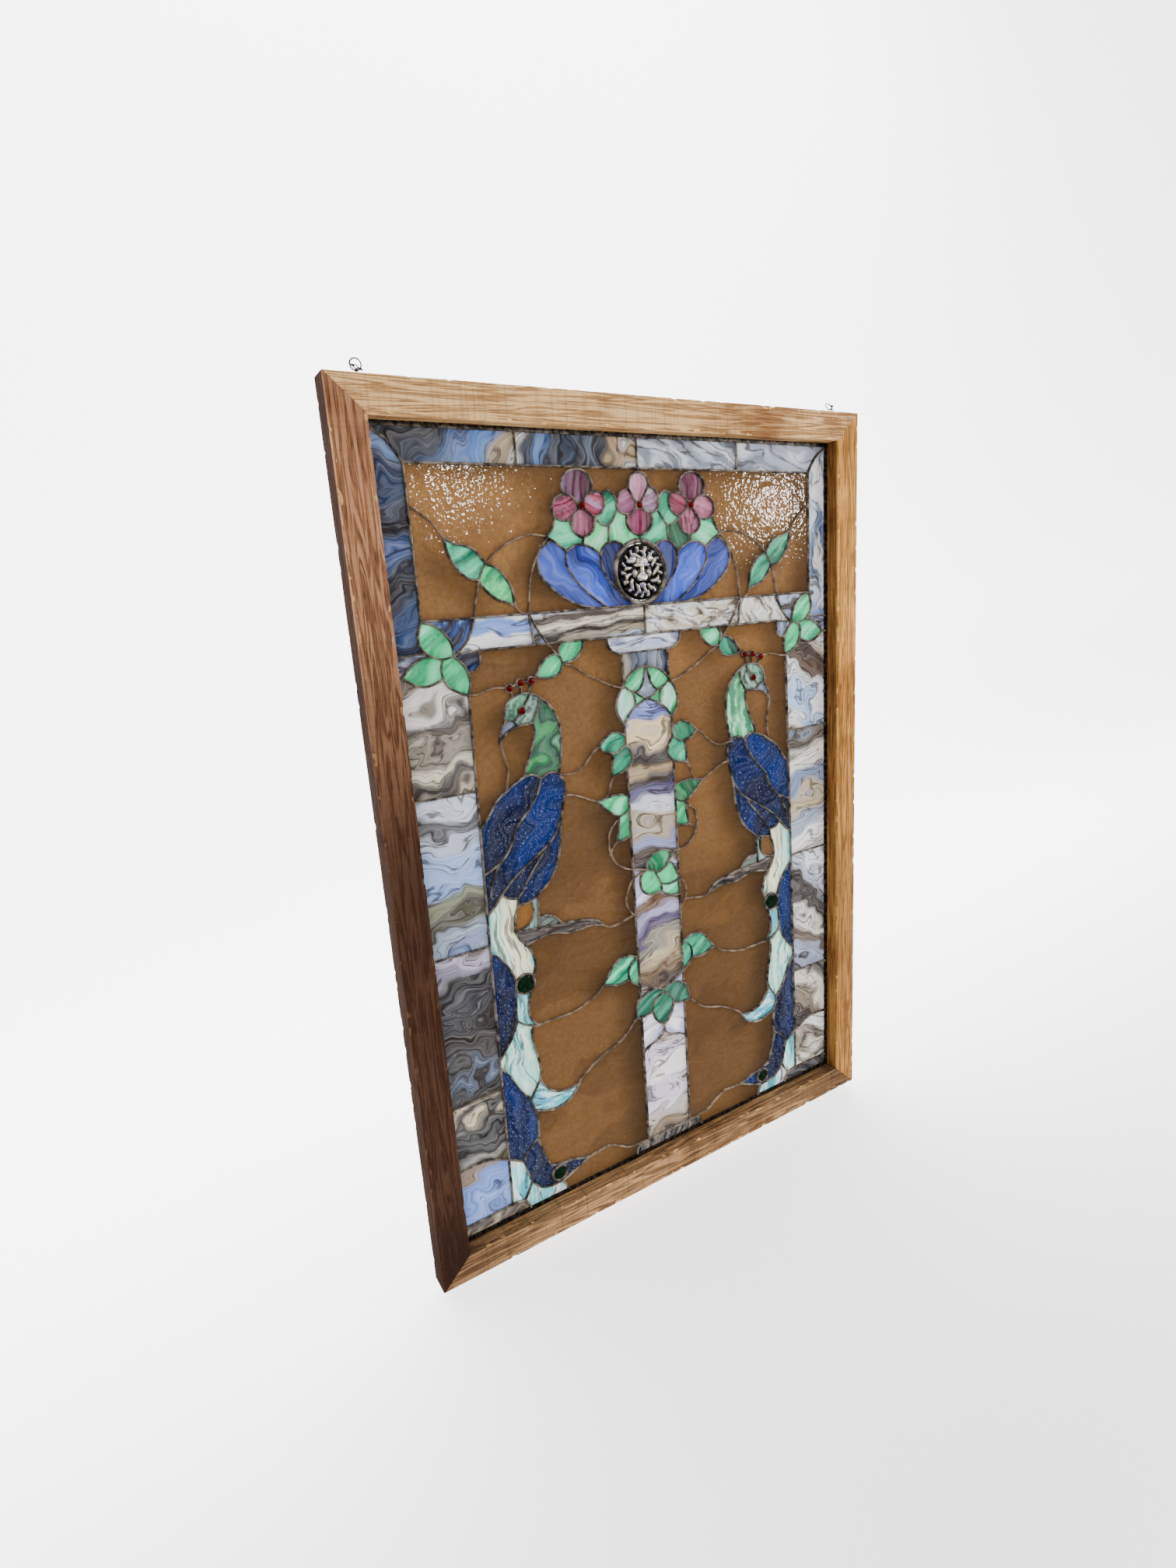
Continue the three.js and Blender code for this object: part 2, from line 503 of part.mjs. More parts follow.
const medallionSolid = () => {
  const xyz = [];
  const faces = [];
  const back = GLASS_BACK - CLEARANCE;
  RELIEF_RINGS.forEach((share) => {
    for (let i = 0; i < MEDALLION_SIDES; i += 1) {
      const turn = (i / MEDALLION_SIDES) * Math.PI * 2;
      const x = share * MEDALLION.r * Math.cos(turn);
      const z = share * MEDALLION.r * Math.sin(turn);
      xyz.push(MEDALLION.x + x, MEDALLION_FACE - relief(x, z), MEDALLION.z + z);
    }
  });
  for (let i = 0; i < MEDALLION_SIDES; i += 1) {
    const turn = (i / MEDALLION_SIDES) * Math.PI * 2;
    const x = MEDALLION.x + MEDALLION.r * Math.cos(turn);
    const z = MEDALLION.z + MEDALLION.r * Math.sin(turn);
    xyz.push(x, back, z);
  }
  xyz.push(MEDALLION.x, back, MEDALLION.z);
  xyz.push(MEDALLION.x, MEDALLION_FACE - relief(0, 0), MEDALLION.z);
  const rows = RELIEF_RINGS.length;
  const at = (row, i) => row * MEDALLION_SIDES + (i % MEDALLION_SIDES);
  for (let row = 0; row < rows; row += 1) {
    for (let i = 0; i < MEDALLION_SIDES; i += 1) {
      faces.push(at(row, i), at(row, i + 1), at(row + 1, i + 1));
      faces.push(at(row, i), at(row + 1, i + 1), at(row + 1, i));
    }
  }
  for (let i = 0; i < MEDALLION_SIDES; i += 1) {
    faces.push(at(rows, i), at(rows, i + 1), (rows + 1) * MEDALLION_SIDES);
    faces.push(at(0, i + 1), at(0, i), (rows + 1) * MEDALLION_SIDES + 1);
  }
  const geometry = new THREE.BufferGeometry();
  geometry.setAttribute('position', new THREE.Float32BufferAttribute(xyz, 3));
  geometry.setIndex(faces);
  return toSolid(geometry);
};

// Screw eyes in the top rail, each with a loose wire ring and a short bunch of links

const screwEye = (x) => {
  const eye = new THREE.TorusGeometry(EYE_R, EYE_WIRE, 4, 10);
  eye.rotateY(Math.PI / 2);
  eye.translate(x, HANG_Y, EYE_Z);
  const top = EYE_Z - EYE_R;
  const bottom = FRAME_H / 2 - SHANK_DEPTH;
  const shank = new THREE.CylinderGeometry(SHANK_R, SHANK_R, top - bottom, 6);
  shank.rotateX(Math.PI / 2);
  shank.translate(x, HANG_Y, (top + bottom) / 2);
  return join([toSolid(eye), toSolid(shank)]);
};

const link = (centre, direction, roll) => {
  const geometry = new THREE.TorusGeometry(LINK_WIDTH / 2 - LINK_WIRE, LINK_WIRE, 3, 6);
  geometry.scale(1, (LINK_LENGTH - 2 * LINK_WIRE) / (LINK_WIDTH - 2 * LINK_WIRE), 1);
  geometry.rotateY(roll);
  const turn = new THREE.Quaternion().setFromUnitVectors(new THREE.Vector3(0, 1, 0), direction);
  geometry.applyQuaternion(turn);
  geometry.translate(centre.x, centre.y, centre.z);
  return toSolid(geometry);
};

// The ring stands in its eye and leans by the given turn; the links hang from its outer side.
const ringAndLinks = (x, lean, out, drop, count) => {
  const lift = EYE_R - EYE_WIRE - RING_WIRE - CLEARANCE;
  const ring = new THREE.TorusGeometry(RING_R, RING_WIRE, 4, 14);
  ring.rotateX(Math.PI / 2);
  ring.translate(0, 0, RING_R);
  ring.rotateX(-lean);
  ring.translate(x, HANG_Y, EYE_Z + lift);
  const hold = new THREE.Vector3(
    x + out * RING_R,
    HANG_Y + RING_R * Math.sin(lean),
    EYE_Z + lift + RING_R * Math.cos(lean),
  );
  const direction = new THREE.Vector3(-out, -LINKS_FORWARD, -drop).normalize();
  const start = hold.clone().addScaledVector(direction, LINK_LENGTH / 2 - LINK_WIRE - RING_WIRE);
  const links = Array.from({ length: count }, (_, i) => (
    link(start.clone().addScaledVector(direction, i * LINK_PITCH), direction, LINK_ROLL + (i * Math.PI) / 2)
  ));
  return join([toSolid(ring), ...links]);
};

// Colours, and the scene graph

const COLOURS = {
  oak: [0x9a6b3f, 0.75, 0],
  zinc: [0x6f6c68, 0.45, 0.8],
  solder: [0x55504a, 0.4, 0.8],
  amber: [0x7a5a34, 0.25, 0],
  streaky: [0xa9b2c4, 0.25, 0],
  green: [0x5fb58a, 0.25, 0],
  rose: [0xa8606f, 0.25, 0],
  violet: [0x4d5fae, 0.25, 0],
  cobalt: [0x17306f, 0.25, 0],
  aqua: [0xa6cfc8, 0.25, 0],
  darkGreen: [0x0c2014, 0.1, 0],
  branch: [0x54473f, 0.3, 0],
  pewter: [0x4b4546, 0.35, 0.9],
  steel: [0x3a3c40, 0.4, 0.9],
};

const window = new THREE.Group();
window.position.set(0, -HANG_Y, -EYE_Z);

const add = (name, colour, solid) => {
  const [color, roughness, metalness] = COLOURS[colour];
  const material = new THREE.MeshStandardMaterial({ color, roughness, metalness });
  const mesh = new THREE.Mesh(toGeometry(solid), material);
  mesh.name = name;
  window.add(mesh);
};

add('frame_top_rail', 'oak', rail(1));
add('frame_bottom_rail', 'oak', rail(-1));
add('frame_left_stile', 'oak', stile(-1));
add('frame_right_stile', 'oak', stile(1));
add('zinc_came', 'zinc', came);
add('solder_lines', 'solder', solderLines);
add('lion_medallion', 'pewter', medallionSolid());

nuggets.forEach((n) => {
  const front = SOLDER_FRONT - NUGGET_PROUD;
  add(n.name, 'darkGreen', dome(n, n.r, front, SOLDER_FRONT, GLASS_BACK, NUGGET_SIDES));
});

add('border_top', 'streaky', pieceAt([-100, 570]));
add('cross_band', 'streaky', pieceAt([-100, 330]));
add('column_capital', 'streaky', pieceAt([-20, 294]));
add('column_wreath', 'green', pieceAt([-30, 240]));
add('column_shaft', 'streaky', pieceAt([0, 0]));
add('column_middle_leaves', 'green', pieceAt([5, -65]));
add('column_lower_leaves', 'green', pieceAt([-40, -320]));
add('column_foot', 'streaky', pieceAt([0, -500]));
add('bouquet_leaves', 'green', pieceAt([-130, 460]));

const PAIRED_GLASS = [
  ['amber_upper', 'amber', [-300, 500]],
  ['amber_flower_gap', 'amber', [-50, 535]],
  ['amber_lower', 'amber', [-150, -300]],
  ['border_side_upper', 'streaky', [-380, 450]],
  ['border_side_lower', 'streaky', [-380, -200]],
  ['lotus', 'violet', [-150, 415]],
  ['vine_leaves', 'green', [-285, 425]],
  ['corner_leaves', 'green', [-345, 325]],
  ['crest_leaves', 'green', [-170, 272]],
  ['column_upper_leaves', 'green', [-70, 145]],
  ['column_side_leaves', 'green', [-75, 45]],
  ['column_foot_leaves', 'green', [-85, -240]],
  ['peacock_neck', 'green', [-185, 180]],
  ['peacock_body', 'cobalt', [-230, 20]],
  ['peacock_leg_and_branch', 'branch', [-200, -130]],
  ['peacock_tail', 'aqua', [-285, -100]],
];

PAIRED_GLASS.forEach(([name, colour, [x, z]]) => {
  bothSides({ x, z }).forEach((place) => {
    const eye = name === 'peacock_neck' ? eyes.filter((e) => e.side === place.side) : [];
    const piece = pieceAt([place.x, place.z]);
    const solid = join([piece, ...eye.map((e) => jewel(e, GLASS_FRONT + 0.5))]);
    add(`${name}_${place.side}`, colour, solid);
  });
});

flowers.forEach((flower) => {
  const petals = pieceAt([flower.x, flower.z + 25]);
  add(`flower_${flower.side}`, 'rose', join([petals, jewel(flower, GLASS_FRONT + 0.5)]));
});

add('screw_eye_left', 'steel', screwEye(-HANG_X));
add('screw_eye_right', 'steel', screwEye(HANG_X));
add('ring_and_links_left', 'steel', ringAndLinks(-HANG_X, 0, -1, LEFT_LINKS_DROP, 3));
add('ring_and_links_right', 'steel', ringAndLinks(HANG_X, RIGHT_RING_LEAN, 1, RIGHT_LINKS_DROP, 3));

export default window;
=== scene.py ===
"""Stained glass window: two peacocks and a column in coloured glass, in a wooden frame.

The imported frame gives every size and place. This script dresses it: each piece of glass is
cut from its own sheet along the solder lines, the solder is run over the seams, and the
boards, the cast lion, the nuggets and the wire rings get their worn surfaces. Drawing sizes
are millimetres from the middle of the panel; meshes are metres in the shared frame.
"""
from __future__ import annotations

import json
import logging
import math
import random
from dataclasses import dataclass, field, replace
from enum import Enum
from typing import Callable, Sequence

import bpy
import numpy as np
from bpy.types import ID, Material, Mesh, Node, NodeSocket, NodeTree, Object
from mathutils import Matrix, Vector, noise
from mathutils.bvhtree import BVHTree
from mathutils.geometry import delaunay_2d_cdt

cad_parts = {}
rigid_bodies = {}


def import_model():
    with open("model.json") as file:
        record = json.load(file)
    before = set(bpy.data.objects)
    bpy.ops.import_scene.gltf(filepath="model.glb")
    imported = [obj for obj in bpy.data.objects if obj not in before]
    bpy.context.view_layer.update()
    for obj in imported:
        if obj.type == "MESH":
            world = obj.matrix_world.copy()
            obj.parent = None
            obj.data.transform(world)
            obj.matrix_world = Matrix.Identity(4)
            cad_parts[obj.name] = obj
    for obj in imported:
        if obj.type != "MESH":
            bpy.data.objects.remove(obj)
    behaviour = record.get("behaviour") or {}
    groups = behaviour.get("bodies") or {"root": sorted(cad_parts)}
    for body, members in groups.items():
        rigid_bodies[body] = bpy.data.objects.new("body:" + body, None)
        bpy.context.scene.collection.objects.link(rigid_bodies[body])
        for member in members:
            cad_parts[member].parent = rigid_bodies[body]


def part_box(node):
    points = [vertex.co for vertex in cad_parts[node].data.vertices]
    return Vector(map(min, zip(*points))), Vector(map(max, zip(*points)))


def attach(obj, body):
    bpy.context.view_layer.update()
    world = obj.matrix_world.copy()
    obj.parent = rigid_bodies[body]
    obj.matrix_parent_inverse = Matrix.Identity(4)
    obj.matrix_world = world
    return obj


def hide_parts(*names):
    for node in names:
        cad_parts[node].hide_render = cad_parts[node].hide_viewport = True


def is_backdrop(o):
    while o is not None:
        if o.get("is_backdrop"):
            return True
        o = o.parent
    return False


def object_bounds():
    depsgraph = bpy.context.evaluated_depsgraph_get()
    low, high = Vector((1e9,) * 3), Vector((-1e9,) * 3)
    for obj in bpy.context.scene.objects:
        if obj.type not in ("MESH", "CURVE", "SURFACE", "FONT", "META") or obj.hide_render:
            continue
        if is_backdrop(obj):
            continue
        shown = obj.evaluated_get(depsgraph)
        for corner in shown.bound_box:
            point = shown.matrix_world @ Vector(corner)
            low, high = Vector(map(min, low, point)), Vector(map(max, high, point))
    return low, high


LOG = logging.getLogger("window")
MM = 0.001
Point = tuple[float, float]
Line = tuple[Point, ...]
Place = tuple[float, float, float]
Colour = tuple[float, float, float]
Faces = list[tuple[int, ...]]


# ---- the drawing

# Seams on the right half, repeated in the mirror. Points are (x, z) in millimetres.
PAIRED_SEAMS: dict[str, tuple[Line, ...]] = {
    "mitre": (((357, 549), (374, 573), (393, 587)),),
    "side": (
        ((357, 549), (357, 351)),
        ((300, 247), (304, 60), (308, -140), (312, -400), (314, -571)),
    ),
    "band_bottom": (((278, 307), (3, 307)),),
    "corner_leaf": (
        ((357, 351), (363, 333), (361, 317), (349, 305)),
        ((349, 305), (362, 303), (377, 295), (391, 281)),
        ((391, 281), (395.7, 281)),
        ((391, 281), (375, 270), (357, 266), (334, 273)),
        ((334, 273), (328, 262), (316, 254), (300, 247)),
        ((300, 247), (296, 262), (298, 278), (305, 291), (316, 302)),
        ((316, 302), (316, 314), (322, 328), (336, 343), (357, 351)),
    ),
    "corner_block": (((278, 307), (279, 292), (285, 282), (297, 278)),),
    "vine_leaf": (
        ((313, 457), (300, 449), (285, 446), (270, 439), (256, 421)),
        ((256, 421), (240, 415), (228, 401), (220, 385), (218, 364)),
        ((313, 457), (309, 436), (299, 417), (285, 404), (269, 400)),
        ((269, 400), (258, 385), (243, 373), (230, 369), (218, 364)),
    ),
    "petals": (
        ((127, 512), (129, 528), (120, 541), (103, 546), (87, 541), (79, 528), (81, 514)),
        ((127, 512), (140, 507), (147, 494), (143, 481), (131, 476), (117, 477)),
        ((81, 514), (67, 516), (59, 507), (60, 494), (67, 485), (76, 481)),
        ((117, 477), (117, 466), (109, 457), (98, 453), (87, 457), (79, 466), (76, 481)),
    ),
    "bouquet": (
        ((160, 455), (150, 464), (143, 480)),
        ((61, 514), (52, 518), (43, 512), (37, 500)),
    ),
    "lotus": (
        ((160, 455), (145, 446), (128, 434)),
        ((128, 434), (116, 441), (102, 443), (86, 438), (71, 428)),
        ((71, 428), (66, 437), (57, 444), (45, 446), (33, 442), (28, 436)),
        ((152, 450), (169, 439), (177, 424), (174, 404), (160, 387), (138, 370), (110, 357), (80, 351)),
    ),
    "capital": (((70, 307), (68, 295), (61, 286), (50, 281), (43, 281)),),
    "neck_of_column": (((43, 281), (44, 233)),),
    "wreath": (
        ((44, 233), (32, 246), (17, 254), (0, 258)),
        ((44, 233), (54, 218), (59, 204), (58, 190), (52, 179), (46, 172)),
        ((46, 172), (36, 186), (22, 197), (0, 207)),
    ),
    "shaft": (
        ((46, 172), (46, 138)),
        ((46, 100), (46, -300)),
        ((46, -334), (46, -573)),
    ),
    "base": (((46, -573), (62, -575), (70, -581), (72, -590.7)),),
    "crest_leaf": (
        ((194, 262), (184, 279), (171, 288), (158, 291), (152, 285)),
        ((152, 285), (154, 296), (147, 307)),
        ((110, 307), (114, 294), (123, 283), (133, 278), (148, 277)),
        ((148, 277), (153, 265), (163, 259), (180, 258), (194, 262)),
    ),
    "head": (
        ((248, 204), (249, 214), (245, 226), (235, 236), (220, 240), (206, 239), (192, 232), (177, 219),
         (166, 202), (161, 182), (161, 155), (164, 135), (169, 113)),
        ((248, 204), (256, 192), (260, 174)),
        ((260, 174), (252, 184), (243, 190), (230, 194), (206, 196)),
        ((206, 196), (204, 185), (207, 168), (214, 150), (222, 133), (226, 119)),
    ),
    "collar": (
        ((226, 119), (213, 120), (200, 112)),
        ((200, 112), (190, 117), (178, 118), (169, 113)),
    ),
    "body": (
        ((226, 119), (242, 112), (258, 102), (275, 90), (289, 70), (304, 54)),
        ((169, 113), (161, 100), (160, 85), (166, 65), (171, 45), (174, 20), (177, 0), (185, -26), (198, -47),
         (222, -68)),
        ((222, -68), (238, -73), (256, -75)),
        ((306, -77), (293, -66), (281, -52)),
        ((281, -52), (269, -60), (255, -63)),
    ),
    "tail_top": (
        ((255, -63), (256, -75), (262, -90), (264, -105), (263, -118), (256, -132), (245, -146), (238, -162),
         (236, -178), (242, -196)),
    ),
    "leg_and_foot": (
        ((222, -68), (223, -90), (224, -103)),
        ((224, -103), (208, -103), (195, -110), (184, -123)),
    ),
    "branch": (
        ((184, -123), (160, -126), (138, -130), (120, -137), (110, -147)),
        ((250, -141), (228, -136), (208, -134), (190, -137), (172, -142), (150, -141), (130, -141),
         (110, -147)),
    ),
    "tail": (
        ((242, -208), (249, -222), (254, -240), (254, -256), (249, -268), (241, -278)),
        ((241, -278), (251, -281), (253, -296), (250, -315), (245, -340), (243, -358), (246, -372)),
        ((246, -372), (238, -388), (226, -401), (210, -408), (195, -410), (177, -408)),
        ((177, -408), (187, -422), (201, -431), (220, -435), (240, -431), (258, -424)),
        ((258, -424), (256, -450), (258, -478), (252, -500), (246, -520), (240, -533)),
        ((240, -533), (222, -539), (200, -542), (171, -551)),
        ((171, -551), (188, -559), (205, -566), (222, -572)),
        ((222, -572), (215, -583), (212, -590.7)),
    ),
    "corner_step": (
        ((314, -571), (292, -574)),
        ((292, -574), (287, -583), (284, -590.7)),
    ),
    "upper_leaf": (
        ((46, 154), (58, 160), (71, 161), (84, 154), (95, 143)),
        ((95, 143), (84, 133), (70, 129)),
        ((70, 129), (73, 112), (73, 92)),
        ((73, 92), (58, 96), (46, 100), (37, 108), (35, 118), (39, 130), (46, 138)),
    ),
    "middle_leaf": (
        ((46, 56), (60, 61), (75, 62), (90, 60), (104, 57)),
        ((104, 57), (94, 47), (82, 36), (67, 26)),
        ((67, 26), (68, 10), (73, -14)),
        ((73, -14), (60, -14), (46, -9)),
    ),
    "lower_leaf": (
        ((46, -222), (65, -215), (82, -215), (96, -224), (106, -237), (117, -250)),
        ((117, -250), (100, -257), (83, -260), (66, -257)),
        ((66, -257), (58, -267), (46, -276)),
    ),
    "cluster": (
        ((0, -296), (18, -290), (35, -294), (50, -302)),
        ((50, -302), (55, -317), (58, -333)),
        ((58, -333), (44, -335), (22, -331)),
        ((22, -331), (18, -345), (10, -356), (0, -366)),
    ),
}

# Seams that cross the middle or belong to the middle pieces.
MIDDLE_SEAMS: dict[str, tuple[Line, ...]] = {
    "top_line": (((-357, 549), (357, 549)),),
    "band": (
        ((-357, 351), (357, 351)),
        ((-3, 307), (3, 307)),
    ),
    "middle_flower": (
        ((-16, 521), (-13, 534), (-5, 542), (3, 544), (13, 542), (20, 535), (21, 525)),
        ((-16, 521), (-29, 515), (-37, 504), (-37, 493), (-30, 486), (-20, 484)),
        ((21, 525), (33, 519), (39, 508), (39, 497), (33, 489), (24, 487)),
        ((-20, 484), (-21, 471), (-14, 460), (2, 454), (17, 460), (25, 472), (24, 487)),
        ((3, 544), (3, 549)),
    ),
    "spur": (
        ((-19, -75), (-18, -62), (-8, -52), (8, -47), (22, -50), (34, -55)),
        ((34, -55), (28, -66), (22, -73)),
        ((22, -73), (32, -74), (39, -84), (43, -95), (50, -106)),
        ((-19, -75), (-30, -82), (-33, -97), (-27, -112), (-12, -120), (9, -119)),
        ((9, -119), (20, -127), (32, -132), (46, -134)),
        ((50, -106), (46, -107)),
    ),
}

# Thinner seams: veins, stems and joints between pieces of one colour, right half.
PAIRED_VEINS: dict[str, tuple[Line, ...]] = {
    "joints": (
        ((197, 549), (197, 590.7)),
        ((355, 310), (395.7, 308)),
    ),
    "corner_leaf": (
        ((349, 305), (333, 300), (316, 302)),
        ((332, 300), (336, 286), (334, 273)),
        ((314, 304), (278, 307)),
    ),
    "band": (
        ((281, 351), (285, 336), (297, 318), (316, 302)),
        ((197, 351), (188, 332), (178, 317), (171, 307)),
        ((197, 351), (193, 307)),
    ),
    "vine": (((357, 497), (343, 488), (327, 475), (313, 457)),),
    "vine_leaf": (((256, 421), (263, 412), (269, 400)),),
    "lotus_vine": (
        ((256, 421), (243, 434), (222, 447), (200, 455), (180, 458), (160, 455)),
        ((218, 364), (213, 356), (205, 351)),
        ((269, 400), (273, 385), (278, 366), (281, 351)),
        ((158, 453), (172, 437), (184, 416), (192, 392), (197, 351)),
    ),
    "lotus": (
        ((128, 434), (130, 418), (122, 402), (108, 384), (88, 367), (65, 352)),
        ((71, 428), (70, 412), (62, 395), (48, 379), (33, 368)),
    ),
    "bouquet": (
        ((98, 453), (100, 443)),
        ((53, 469), (55, 446)),
        ((77, 479), (65, 470), (53, 469), (45, 478), (36, 491)),
    ),
    "petals": (
        ((127, 512), (114, 509), (105, 501)),
        ((81, 514), (90, 509), (94, 502)),
        ((76, 481), (85, 485), (94, 492)),
        ((117, 477), (111, 484), (104, 492)),
    ),
    "wreath": (
        ((44, 231), (33, 224), (22, 220), (14, 223), (7, 234), (4, 247), (0, 258)),
        ((36, 225), (28, 219), (24, 209), (24, 197)),
        ((22, 219), (12, 211), (0, 207)),
    ),
    "crest_vine": (((171, 307), (158, 291)),),
    "crest_leaf": (((152, 285), (148, 277)),),
    "crest_stem": (
        ((148, 277), (130, 269), (110, 256), (85, 243), (60, 232), (44, 228)),
        ((300, 247), (288, 247), (273, 251), (258, 253), (239, 250)),
    ),
    "crest": (
        ((239, 250), (220, 256), (203, 257), (194, 262)),
        ((239, 250), (234, 237)),
        ((220, 256), (220, 240)),
        ((203, 257), (209, 239)),
    ),
    "head": (
        ((248, 204), (237, 203), (230, 194)),
        ((193, 232), (194, 220), (199, 206), (206, 196)),
        ((206, 239), (215, 226), (222, 215), (233, 204)),
    ),
    "beak_vine": (((260, 174), (256, 155), (252, 135), (254, 118), (258, 102)),),
    "feathers": (
        ((200, 112), (207, 92), (225, 68), (246, 46), (257, 22), (275, 0), (306, -15)),
        ((172, 42), (190, 15), (225, -9), (258, -30), (281, -52)),
        ((205, -1), (225, -24), (241, -46), (255, -63)),
        ((278, -2), (292, -25), (298, -50)),
    ),
    "foot": (
        ((234, -73), (231, -88), (235, -103), (247, -112), (264, -115)),
        ((224, -103), (225, -118)),
    ),
    "branch": (((264, -115), (245, -117), (204, -122), (184, -123)),),
    "tail": (
        ((307, -137), (295, -148), (283, -164), (275, -180), (271, -194)),
        ((272, -211), (275, -235), (275, -260)),
        ((275, -260), (262, -271), (243, -278)),
        ((275, -260), (286, -282), (298, -299), (309, -312)),
        ((309, -330), (297, -347), (286, -370), (276, -386), (264, -400)),
        ((246, -372), (255, -386), (264, -400), (262, -412), (258, -424)),
        ((257, -472), (272, -482), (283, -495), (288, -506)),
        ((313, -489), (300, -497), (288, -506), (283, -525), (277, -546), (265, -562), (250, -570),
         (222, -572)),
        ((277, -547), (284, -561), (292, -574)),
    ),
    "upper_stem": (
        ((169, 113), (150, 110), (135, 113), (120, 123), (106, 137), (95, 143)),
        ((160, 79), (145, 76), (130, 69), (104, 57)),
    ),
    "upper_leaf": (((70, 129), (60, 130), (52, 136), (46, 138)),),
    "leaf_stem": (((73, 92), (79, 80), (88, 60)),),
    "leaves": (
        ((67, 26), (57, 28), (46, 34)),
        ((48, -223), (62, -232), (67, -245), (66, -257)),
    ),
    "cluster": (
        ((46, -276), (30, -284), (0, -296)),
        ((22, -331), (20, -320), (12, -309), (0, -302)),
        ((0, -366), (2, -377), (14, -387), (32, -393), (46, -401)),
    ),
    "lower_stem": (
        ((241, -278), (210, -278), (180, -278), (155, -272), (130, -262), (117, -250)),
        ((177, -408), (172, -400), (155, -389), (130, -375), (88, -360), (58, -333)),
        ((171, -551), (150, -549), (128, -548), (105, -560), (85, -570), (46, -573)),
        ((73, -14), (82, -22), (88, -33)),
    ),
    "side_joints": (
        ((303, 111), (395.7, 112)),
        ((308, -125), (395.7, -124)),
        ((311, -363), (395.7, -365)),
        ((313, -489), (331, -480), (355, -472), (395.7, -474)),
        ((314, -571), (395.7, -573)),
    ),
}

# Thinner seams of the middle, and the two loops that differ from side to side.
MIDDLE_VEINS: dict[str, tuple[Line, ...]] = {
    "joints": (
        ((3, 549), (3, 590.7)),
        ((3, 351), (3, 307)),
        ((2, 454), (2, 446)),
    ),
    "middle_flower": (
        ((-16, 521), (-9, 510), (-2, 501)),
        ((21, 525), (14, 513), (6, 502)),
        ((24, 487), (15, 488), (7, 494)),
        ((-20, 484), (-11, 487), (-3, 493)),
    ),
    "column": (
        ((-43, 281), (43, 281)),
        ((0, -296), (0, -302)),
        ((-46, -573), (46, -573)),
    ),
    "spur": (
        ((-19, -75), (-5, -80), (5, -84), (18, -79), (23, -73)),
        ((-3, -81), (4, -95), (9, -108), (9, -119)),
        ((9, -106), (25, -110), (46, -107)),
        ((34, -55), (46, -54)),
    ),
    "loops": (
        ((-72, 20), (-84, 8), (-89, -8), (-87, -30), (-78, -49), (-62, -62), (-46, -68), (-32, -71),
         (-19, -75)),
        ((-30, -78), (-46, -83), (-56, -97), (-63, -118), (-58, -135), (-50, -146)),
        ((-110, -147), (-100, -153), (-87, -154), (-68, -150), (-46, -145)),
        ((72, 20), (84, 8), (89, -8), (86, -28), (76, -43), (60, -52), (46, -54)),
        ((50, -106), (57, -116), (60, -130), (57, -145), (46, -158)),
        ((110, -147), (100, -151), (85, -150), (57, -145)),
    ),
}

# Groups of thin seams that are vines and stems: they lie on amber and take its warm light.
VINES = ("vine", "lotus_vine", "crest_vine", "crest_stem", "beak_vine", "upper_stem", "leaf_stem",
         "lower_stem", "loops")


# ---- helpers

def linear(code: str) -> Colour:
    """Turns a colour of six hex digits, as seen, into the colour of a surface.

    Pale and strong colours are raised, since the view of the picture holds them back.

    Args:
        code: the colour as seen, such as "8a6a45".

    Returns:
        Red, green and blue in linear light.
    """
    parts = [int(code[i:i + 2], 16) / 255 for i in (0, 2, 4)]
    light = [p / 12.92 if p <= 0.04045 else ((p + 0.055) / 1.055) ** 2.4 for p in parts]
    raised = [c * (0.62 + c) for c in light]
    grey = sum(raised) / 3
    return tuple(min(max(grey + (c - grey) * 1.25, 0.002), 0.95) for c in raised)


def mirrored(points: Sequence[Point]) -> Line:
    """The same points on the other side of the middle."""
    return tuple((-x, z) for x, z in points)


def smooth(points: Sequence[Point], step: float) -> list[Point]:
    """Runs a smooth curve through a few points.

    Args:
        points: the points that the curve passes.
        step: the distance between the points returned, in millimetres.

    Returns:
        Points along the curve, from the first given point to the last.
    """
    ends = [points[0], *points, points[-1]]
    path = [points[0]]
    for a, b, c, d in zip(ends, ends[1:], ends[2:], ends[3:]):
        count = max(1, round(math.dist(b, c) / step))
        for i in range(1, count + 1):
            t = i / count
            point = []
            for p0, p1, p2, p3 in zip(a, b, c, d):
                lead, trail = (p2 - p0) / 2, (p3 - p1) / 2
                point.append((2 * p1 - 2 * p2 + lead + trail) * t ** 3
                             + (3 * p2 - 3 * p1 - 2 * lead - trail) * t ** 2 + lead * t + p1)
            path.append((point[0], point[1]))
    return path


def fractal(x: float, z: float, seed: float, octaves: int = 3) -> float:
    """Soft noise between about -1 and 1 on a plane."""
    return noise.fractal((x, seed, z), 1.0, 2.1, octaves, noise_basis="PERLIN_ORIGINAL") * 1.4


def ease(value: float, low: float, high: float) -> float:
    """Rises smoothly from 0 at low to 1 at high."""
    t = min(max((value - low) / (high - low), 0.0), 1.0)
    return t * t * (3 - 2 * t)


def new_object(name: str, data: ID) -> Object:
    """Puts a mesh, lamp or camera in the scene as an object at the origin.

    Args:
        name: the object's name.
        data: what it holds.

    Returns:
        The object.
    """
    piece = bpy.data.objects.new(name, data)
    bpy.context.scene.collection.objects.link(piece)
    return piece


